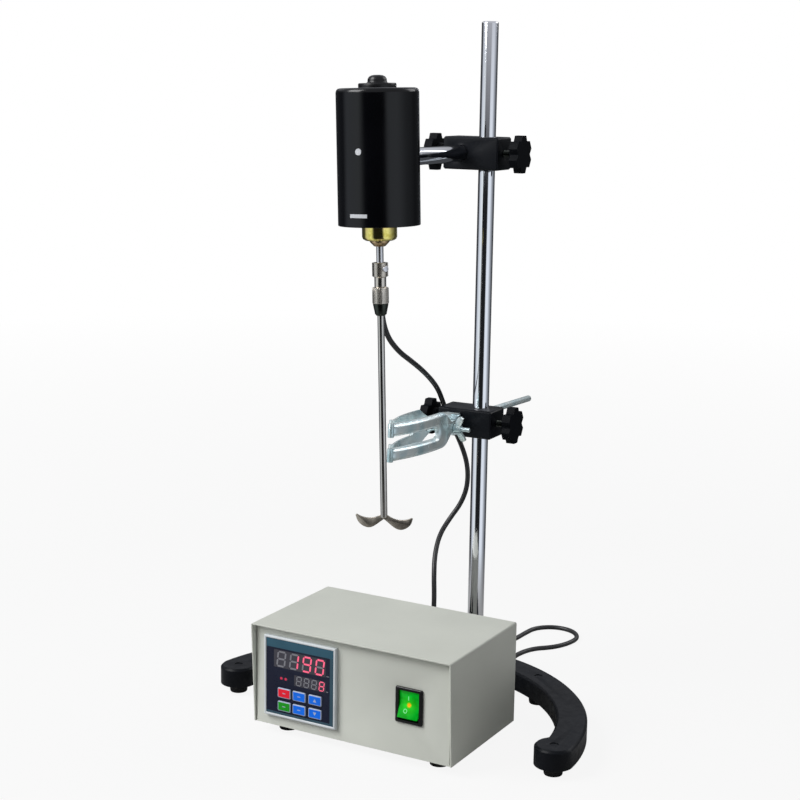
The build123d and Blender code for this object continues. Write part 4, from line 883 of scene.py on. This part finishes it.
def curvedMark(name, outline, height, angle):
    look = markLook
    bm = bmesh.new()  # a thin printed mark, bent round the motor cover
    bm.faces.new([bm.verts.new((x, y, 0)) for x, y in outline])
    bmesh.ops.subdivide_edges(bm, edges=bm.edges, cuts=look["cuts"], use_grid_fill=True)
    bmesh.ops.triangulate(bm, faces=bm.faces)
    raised = bmesh.ops.extrude_face_region(bm, geom=list(bm.faces))
    top = [item for item in raised["geom"] if isinstance(item, bmesh.types.BMVert)]
    bmesh.ops.translate(bm, vec=(0, 0, look["thickness"]), verts=top)
    for vertex in bm.verts:
        bend = radians(angle) + vertex.co.x / look["radius"]
        reach = look["radius"] - look["sink"] + vertex.co.z
        vertex.co = Vector((reach * cos(bend), reach * sin(bend), height + vertex.co.y))
    bmesh.ops.recalc_face_normals(bm, faces=bm.faces)
    placed(bm, drive)
    finishPiece(name, bm, extras["markWhite"], "motor", smoothBelow=60)


curvedMark("motorDot", roundOutline(0, 0, markLook["dotRadius"], 15), *markLook["dotPlace"])
barX, barY = markLook["barHalf"]
curvedMark("motorBar", rectangle(-barX, -barY, barX, barY), *markLook["barPlace"])
print("motor done")

# chuck and stirring rod
chuckBodyLook = {
    "profile": [(3.0, -83.7), (6.2, -83.7), (6.2, -95.1), (4.9, -95.7), (4.9, -104.1),
                (4.5, -104.1), (4.5, -120.5), (2.95, -120.5), (2.95, -95.2), (0, -95.2),
                (0, -92.7), (3.0, -92.7), (3.0, -83.7)],
    "cut": 0.3, "steps": 72,
}
lathePiece("chuckBody", "chuck_body", drive, "rotor", chuckBodyLook)
knurl = {
    "low": -94.9, "high": -83.9, "radius": 6.3, "depth": 0.35, "count": 44, "points": 4,
    "crest": (0, 1),
}
ring = bmesh.new()
around = knurl["count"] * knurl["points"]
circle = bmesh.ops.create_circle(ring, cap_ends=False, segments=around, radius=1.0)
for index, vertex in enumerate(circle["verts"]):
    radius = knurl["radius"]
    if index % knurl["points"] in knurl["crest"]:
        radius += knurl["depth"]
    vertex.co = Vector((vertex.co.x * radius, vertex.co.y * radius, knurl["low"]))
raised = bmesh.ops.extrude_edge_only(ring, edges=list(ring.edges))
tops = [item for item in raised["geom"] if isinstance(item, bmesh.types.BMVert)]
bmesh.ops.translate(ring, vec=(0, 0, knurl["high"] - knurl["low"]), verts=tops)
bmesh.ops.holes_fill(ring, edges=[e for e in ring.edges if e.is_boundary], sides=0)
bmesh.ops.recalc_face_normals(ring, faces=ring.faces)
placed(ring, drive)
finishPiece("chuckKnurl", ring, finishes["chuck_nickel"], "rotor", smoothBelow=25)
polished("chuck_set_screw", "rotor", width=0.3, segments=2, angle=40)
polished("chuck_sleeve", "chuck_sleeve", width=0.12, segments=1, angle=40)
chuckNoseLook = {
    "profile": [(4.5, -117.4), (6.4, -117.4), (6.4, -118.4), (4.75, -126.5), (4.2, -126.5),
                (3.8, -127.5), (2.95, -127.5), (2.95, -120.5), (4.5, -120.5), (4.5, -117.4)],
    "cut": 0.2, "steps": 64,
}
lathePiece("chuckNose", "chuck_nose", drive, "rotor", chuckNoseLook)
stirRodLook = {
    "profile": [(0, -299.0), (2.4, -299.0), (2.9, -298.4), (2.9, -112.0), (0, -112.0)],
    "cut": 0.15, "steps": 64,
}
lathePiece("stirRod", "stir_rod", drive, "stirrer", stirRodLook)
polished("stir_blade", "stirrer", width=0.25, segments=2, angle=40)
print("chuck and stirring rod done")

# flask clamp: node, body, and how wide its edges are softened
for node, body, width in (
    ("clamp_rod", "flask_clamp", 0.2), ("clamp_body", "flask_clamp", 0.5),
    ("rear_jaw", "flask_clamp", 0.6), ("front_jaw", "front_jaw", 0.6),
    ("wing_screw", "wing_screw", 0.4),
):
    polished(node, body, width, segments=3)
print("flask clamp done")

# controller: node, and how wide its edges are softened
for node, width in (
    ("box_cover", 0.25), ("box_chassis", 0.15), ("case_screws", 0.2), ("box_feet", 0.6),
    ("meter_bezel", 0.25), ("meter_face", 0.1), ("switch_body", 0.3), ("motor_socket", 0.3),
    ("motor_plug", 0.3), ("cord_gland", 0.3), ("mains_plug", 0.5),
):
    polished(node, "stand", width, smoothBelow=25.0)
polished("switch_rocker", "switch_rocker", width=0.3, segments=2, angle=20)

# places on the meter, in millimetres from its top left corner
meterLook = {
    "corner": (12.0, 90.9, 0), "face": 3.38, "left": 2.3, "right": 69.7, "bandFoot": -9.8,
    "stripLeft": 66.3, "stripTop": -67.6, "film": 0.12, "lampsX": (17.5, 22.0), "lampY": -36.6,
    "lampRadius": 1.2, "lampRise": 0.1, "dashTall": 0.7, "dashRise": 0.06,
}
meter = axesAt(panel @ Vector(meterLook["corner"]), boxAlong, -boxAcross)
segmentLook = {"slant": 0.12, "thick": 0.17, "gap": 0.05, "rise": 0.06}


def digitSegments(width, height):
    look = segmentLook
    t = width * look["thick"]
    gap = width * look["gap"]
    half = height / 2
    across = [(gap + t / 2, 0), (t + gap / 2, t / 2), (width - t - gap / 2, t / 2),
              (width - gap - t / 2, 0), (width - t - gap / 2, -t / 2), (t + gap / 2, -t / 2)]
    long = half - t
    upright = [(0, gap), (t / 2, t / 2 + gap), (t / 2, long - t / 2 + gap), (0, long + gap),
               (-t / 2, long - t / 2 + gap), (-t / 2, t / 2 + gap)]
    shapes = {}
    for key, y in (("g", half), ("a", height - t / 2), ("d", t / 2)):
        shapes[key] = [(px, py + y) for px, py in across]
    for key, x, y in (
        ("f", t / 2, half), ("b", width - t / 2, half),
        ("e", t / 2, t / 2), ("c", width - t / 2, t / 2),
    ):
        shapes[key] = [(px + x, py + y) for px, py in upright]
    return shapes


lit = {"0": "abcdef", "1": "bc", "9": "abcdfg", " ": "", "8": "abcdefg"}


def addDisplay(name, left, bottom, width, height, step, digits):
    for state, finish in (("lit", extras["litRed"]), ("dark", extras["unlit"])):
        bm = bmesh.new()
        for index, digit in enumerate(digits):
            for key, shape in digitSegments(width, height).items():
                if (key in lit[digit]) != (state == "lit"):
                    continue
                corners = []
                for x, y in shape:
                    slanted = x + y * segmentLook["slant"]
                    corners.append(
                        bm.verts.new((left + index * step + slanted, bottom + y, 0))
                    )
                bm.faces.new(corners)
        raised = bmesh.ops.extrude_face_region(bm, geom=list(bm.faces))
        top = [item for item in raised["geom"] if isinstance(item, bmesh.types.BMVert)]
        bmesh.ops.translate(bm, vec=(0, 0, segmentLook["rise"]), verts=top)
        bmesh.ops.recalc_face_normals(bm, faces=bm.faces)
        placed(bm, onFace)
        finishPiece(name + state.capitalize(), bm, finish, "stand")


polished("meter_displays", "stand", width=0.1, segments=1, angle=40)
onFace = axesAt(meter @ Vector((0, 0, meterLook["face"])), boxAlong, -boxAcross)
# left, bottom, width and height of a digit, the step to the next one, the digits
addDisplay("upperDigits", 12.2, -26.6, 9.0, 14.4, 12.9, " 190")
addDisplay("lowerDigits", 32.2, -40.3, 5.4, 8.7, 7.6, "   8")

keyLook = {
    "columns": (20.7, 35.9, 51.9), "rows": (49.6, 61.6), "top": (11.6, 7.2), "front": 4.18,
    "topThickness": 0.10, "markBase": 0.08, "markThickness": 0.06, "arrowHalf": (1.7, 1.5),
    "barHalf": (1.5, 0.35), "edge": 0.25, "topEdge": 0.08,
}
keyFinish = {(1, 1): "key_red", (2, 1): "key_green"}
keyTop = axesAt(meter @ Vector((0, 0, keyLook["front"])), boxAlong, -boxAcross)
markBase = axesAt(keyTop @ Vector((0, 0, keyLook["markBase"])), boxAlong, -boxAcross)
for row, y in enumerate(keyLook["rows"], 1):
    for column, x in enumerate(keyLook["columns"], 1):
        node = f"key_{row}_{column}"
        polished(node, node, keyLook["edge"], finish=extras["keyLine"])
        width, height = keyLook["top"]
        corners = rectangle(x - width / 2, -y - height / 2, x + width / 2, -y + height / 2)
        slotName = keyFinish.get((row, column), "key_blue")
        platePiece(
            node + "Top", corners, keyLook["topThickness"], keyTop, finishes[slotName], node,
            keyLook["topEdge"],
        )
        if column == 3:
            wide, tall = keyLook["arrowHalf"]
            tall = tall if row == 1 else -tall
            mark = [(x - wide, -y - tall), (x + wide, -y - tall), (x, -y + tall)]
        else:
            wide, tall = keyLook["barHalf"]
            mark = rectangle(x - wide, -y - tall, x + wide, -y + tall)
        platePiece(
            node + "Mark", mark, keyLook["markThickness"], markBase, extras["keyLine"], node,
        )

look = meterLook
for side, x in zip(("Left", "Right"), look["lampsX"]):
    lamp = roundOutline(x, look["lampY"], look["lampRadius"], 30)
    platePiece(
        "lamp" + side, lamp, look["lampRise"], onFace, extras["redLamp"], "stand"
    )
# name, left end, bottom and length of each dash beside the digits
for name, x, y, long in (("unitUpper", 62.9, -26.4, 2.8), ("unitLower", 62.9, -40.2, 1.9)):
    dash = rectangle(x, y, x + long, y + look["dashTall"])
    platePiece(name, dash, look["dashRise"], onFace, extras["unlit"], "stand")
left, right, foot, strip = look["left"], look["right"], look["bandFoot"], look["stripTop"]
for name, outline, finish in (
    ("tealBand", rectangle(left, foot, right, -left), extras["tealBand"]),
    ("rightStrip", rectangle(look["stripLeft"], strip, right, foot), extras["stripBlue"]),
    ("bottomStrip", rectangle(left, -right, right, strip), extras["stripBlue"]),
):
    platePiece(name, outline, look["film"], onFace, finish, "stand")
print("controller done")

# hidden nodes keep their solids
for name, piece in nodes.items():
    if not piece.hide_render:
        piece.data.materials.clear()
        piece.data.materials.append(finishes[slotOf[name]])


# floor and light
studio = {
    "floorColour": (0.5, 0.5, 0.5), "floorSize": 12.0, "floorLift": 0.90,
    "floorFade": (0.6, 2.5), "mirrorFade": (0.25, 0.55), "skyLevel": 0.18,
    "bandTop": 0.16, "bandFade": 0.2, "highRoom": (0.55, 0.56, 0.60),
}
# place, aim, width and height in metres, power in watts
lamps = {
    "keyLamp": ((-1.2, -1.6, 1.9), (0, -0.05, 0.2), (1.5, 1.5), 64.0),
    "backLamp": ((1.0, 1.7, 1.6), (0, 0, 0.3), (1.2, 1.2), 12.0),
}
# how bright the room looks round the stand to a mirror: (degrees right of the camera, level)
roomBands = [
    (-180, 0.06), (-110, 0.06), (-94, 0.72), (-54, 1.0), (-38, 0.015), (18, 0.015), (28, 0.95),
    (56, 0.95), (84, 0.40), (118, 0.07), (180, 0.06),
]
cameraSide = Vector((0.538, -0.843))
roomTint = (0.91, 0.97, 1.07)


def roomLevel(shade, place):
    x, y = (shade.add("ShaderNodeSeparateXYZ", {}, {0: place}, axis) for axis in range(2))
    ahead = x * cameraSide.x + y * cameraSide.y
    aside = x * -cameraSide.y + y * cameraSide.x
    angle = aside.math("ARCTAN2", aside, ahead)
    share = angle / (2 * pi) + 0.5
    stops = [((a + 180) / 360, lighter(roomTint, v)) for a, v in roomBands]
    return shade.ramp(share, *stops)


def addFloor():
    bm = bmesh.new()
    bmesh.ops.create_grid(bm, x_segments=1, y_segments=1, size=studio["floorSize"])
    mesh = bpy.data.meshes.new("floor")
    bm.to_mesh(mesh)
    bm.free()
    floor = bpy.data.objects.new("floor", mesh)
    scene.collection.objects.link(floor)
    shade = Shade("paleFloor")
    place = shade.where()
    ray = shade.add("ShaderNodeLightPath", output="Is Camera Ray")
    glossy = shade.add("ShaderNodeLightPath", output="Is Glossy Ray")
    reach = shade.add("ShaderNodeVectorMath", {"operation": "LENGTH"}, {0: place}, 1)
    paint = shade.add("ShaderNodeBsdfDiffuse", {}, {"Color": (*studio["floorColour"], 1)})
    glow = shade.add("ShaderNodeEmission", {}, {"Color": (1, 1, 1, 1), "Strength": 1.0})
    lift = shade.span(reach, studio["floorLift"], 1.0, *studio["floorFade"])
    seen = shade.add("ShaderNodeMixShader", {}, {0: ray * lift, 1: paint, 2: glow})
    far = shade.span(reach, 0.0, 1.0, *studio["mirrorFade"])
    room = shade.add("ShaderNodeEmission", {}, {"Color": roomLevel(shade, place)})
    both = shade.add("ShaderNodeMixShader", {}, {0: glossy * far, 1: seen, 2: room})
    shade.add("ShaderNodeOutputMaterial", {}, {"Surface": both})
    mesh.materials.append(shade.material)


def addSky():
    scene.world = bpy.data.worlds.new("studio")
    shade = Shade("studio", scene.world)
    shade.place = shade.add("ShaderNodeTexCoord")
    ray = shade.add("ShaderNodeLightPath", output="Is Camera Ray")
    glossy = shade.add("ShaderNodeLightPath", output="Is Glossy Ray")
    height = shade.add("ShaderNodeSeparateXYZ", {}, {0: shade.place}, 2)
    level = studio["skyLevel"]
    low = studio["bandTop"]
    high = shade.span(height, 0.0, 1.0, low, low + studio["bandFade"])
    room = shade.mix(high, roomLevel(shade, shade.place), studio["highRoom"])
    plain = shade.mix(ray, (level, level, level), (1.0, 1.0, 1.0))
    sky = shade.add("ShaderNodeBackground", {}, {"Color": shade.mix(glossy, plain, room)})
    shade.add("ShaderNodeOutputWorld", {}, {"Surface": sky})


def addLamp(name, place, aim, size, power):
    data = bpy.data.lights.new(name, "AREA")
    data.shape = "RECTANGLE"
    data.size, data.size_y = size
    data.energy = power
    lamp = bpy.data.objects.new(name, data)
    lamp.location = place
    lamp.rotation_euler = (Vector(aim) - Vector(place)).to_track_quat("-Z", "Y").to_euler()
    scene.collection.objects.link(lamp)


addFloor()
addSky()
for name, look in lamps.items():
    addLamp(name, *look)
print("studio set")
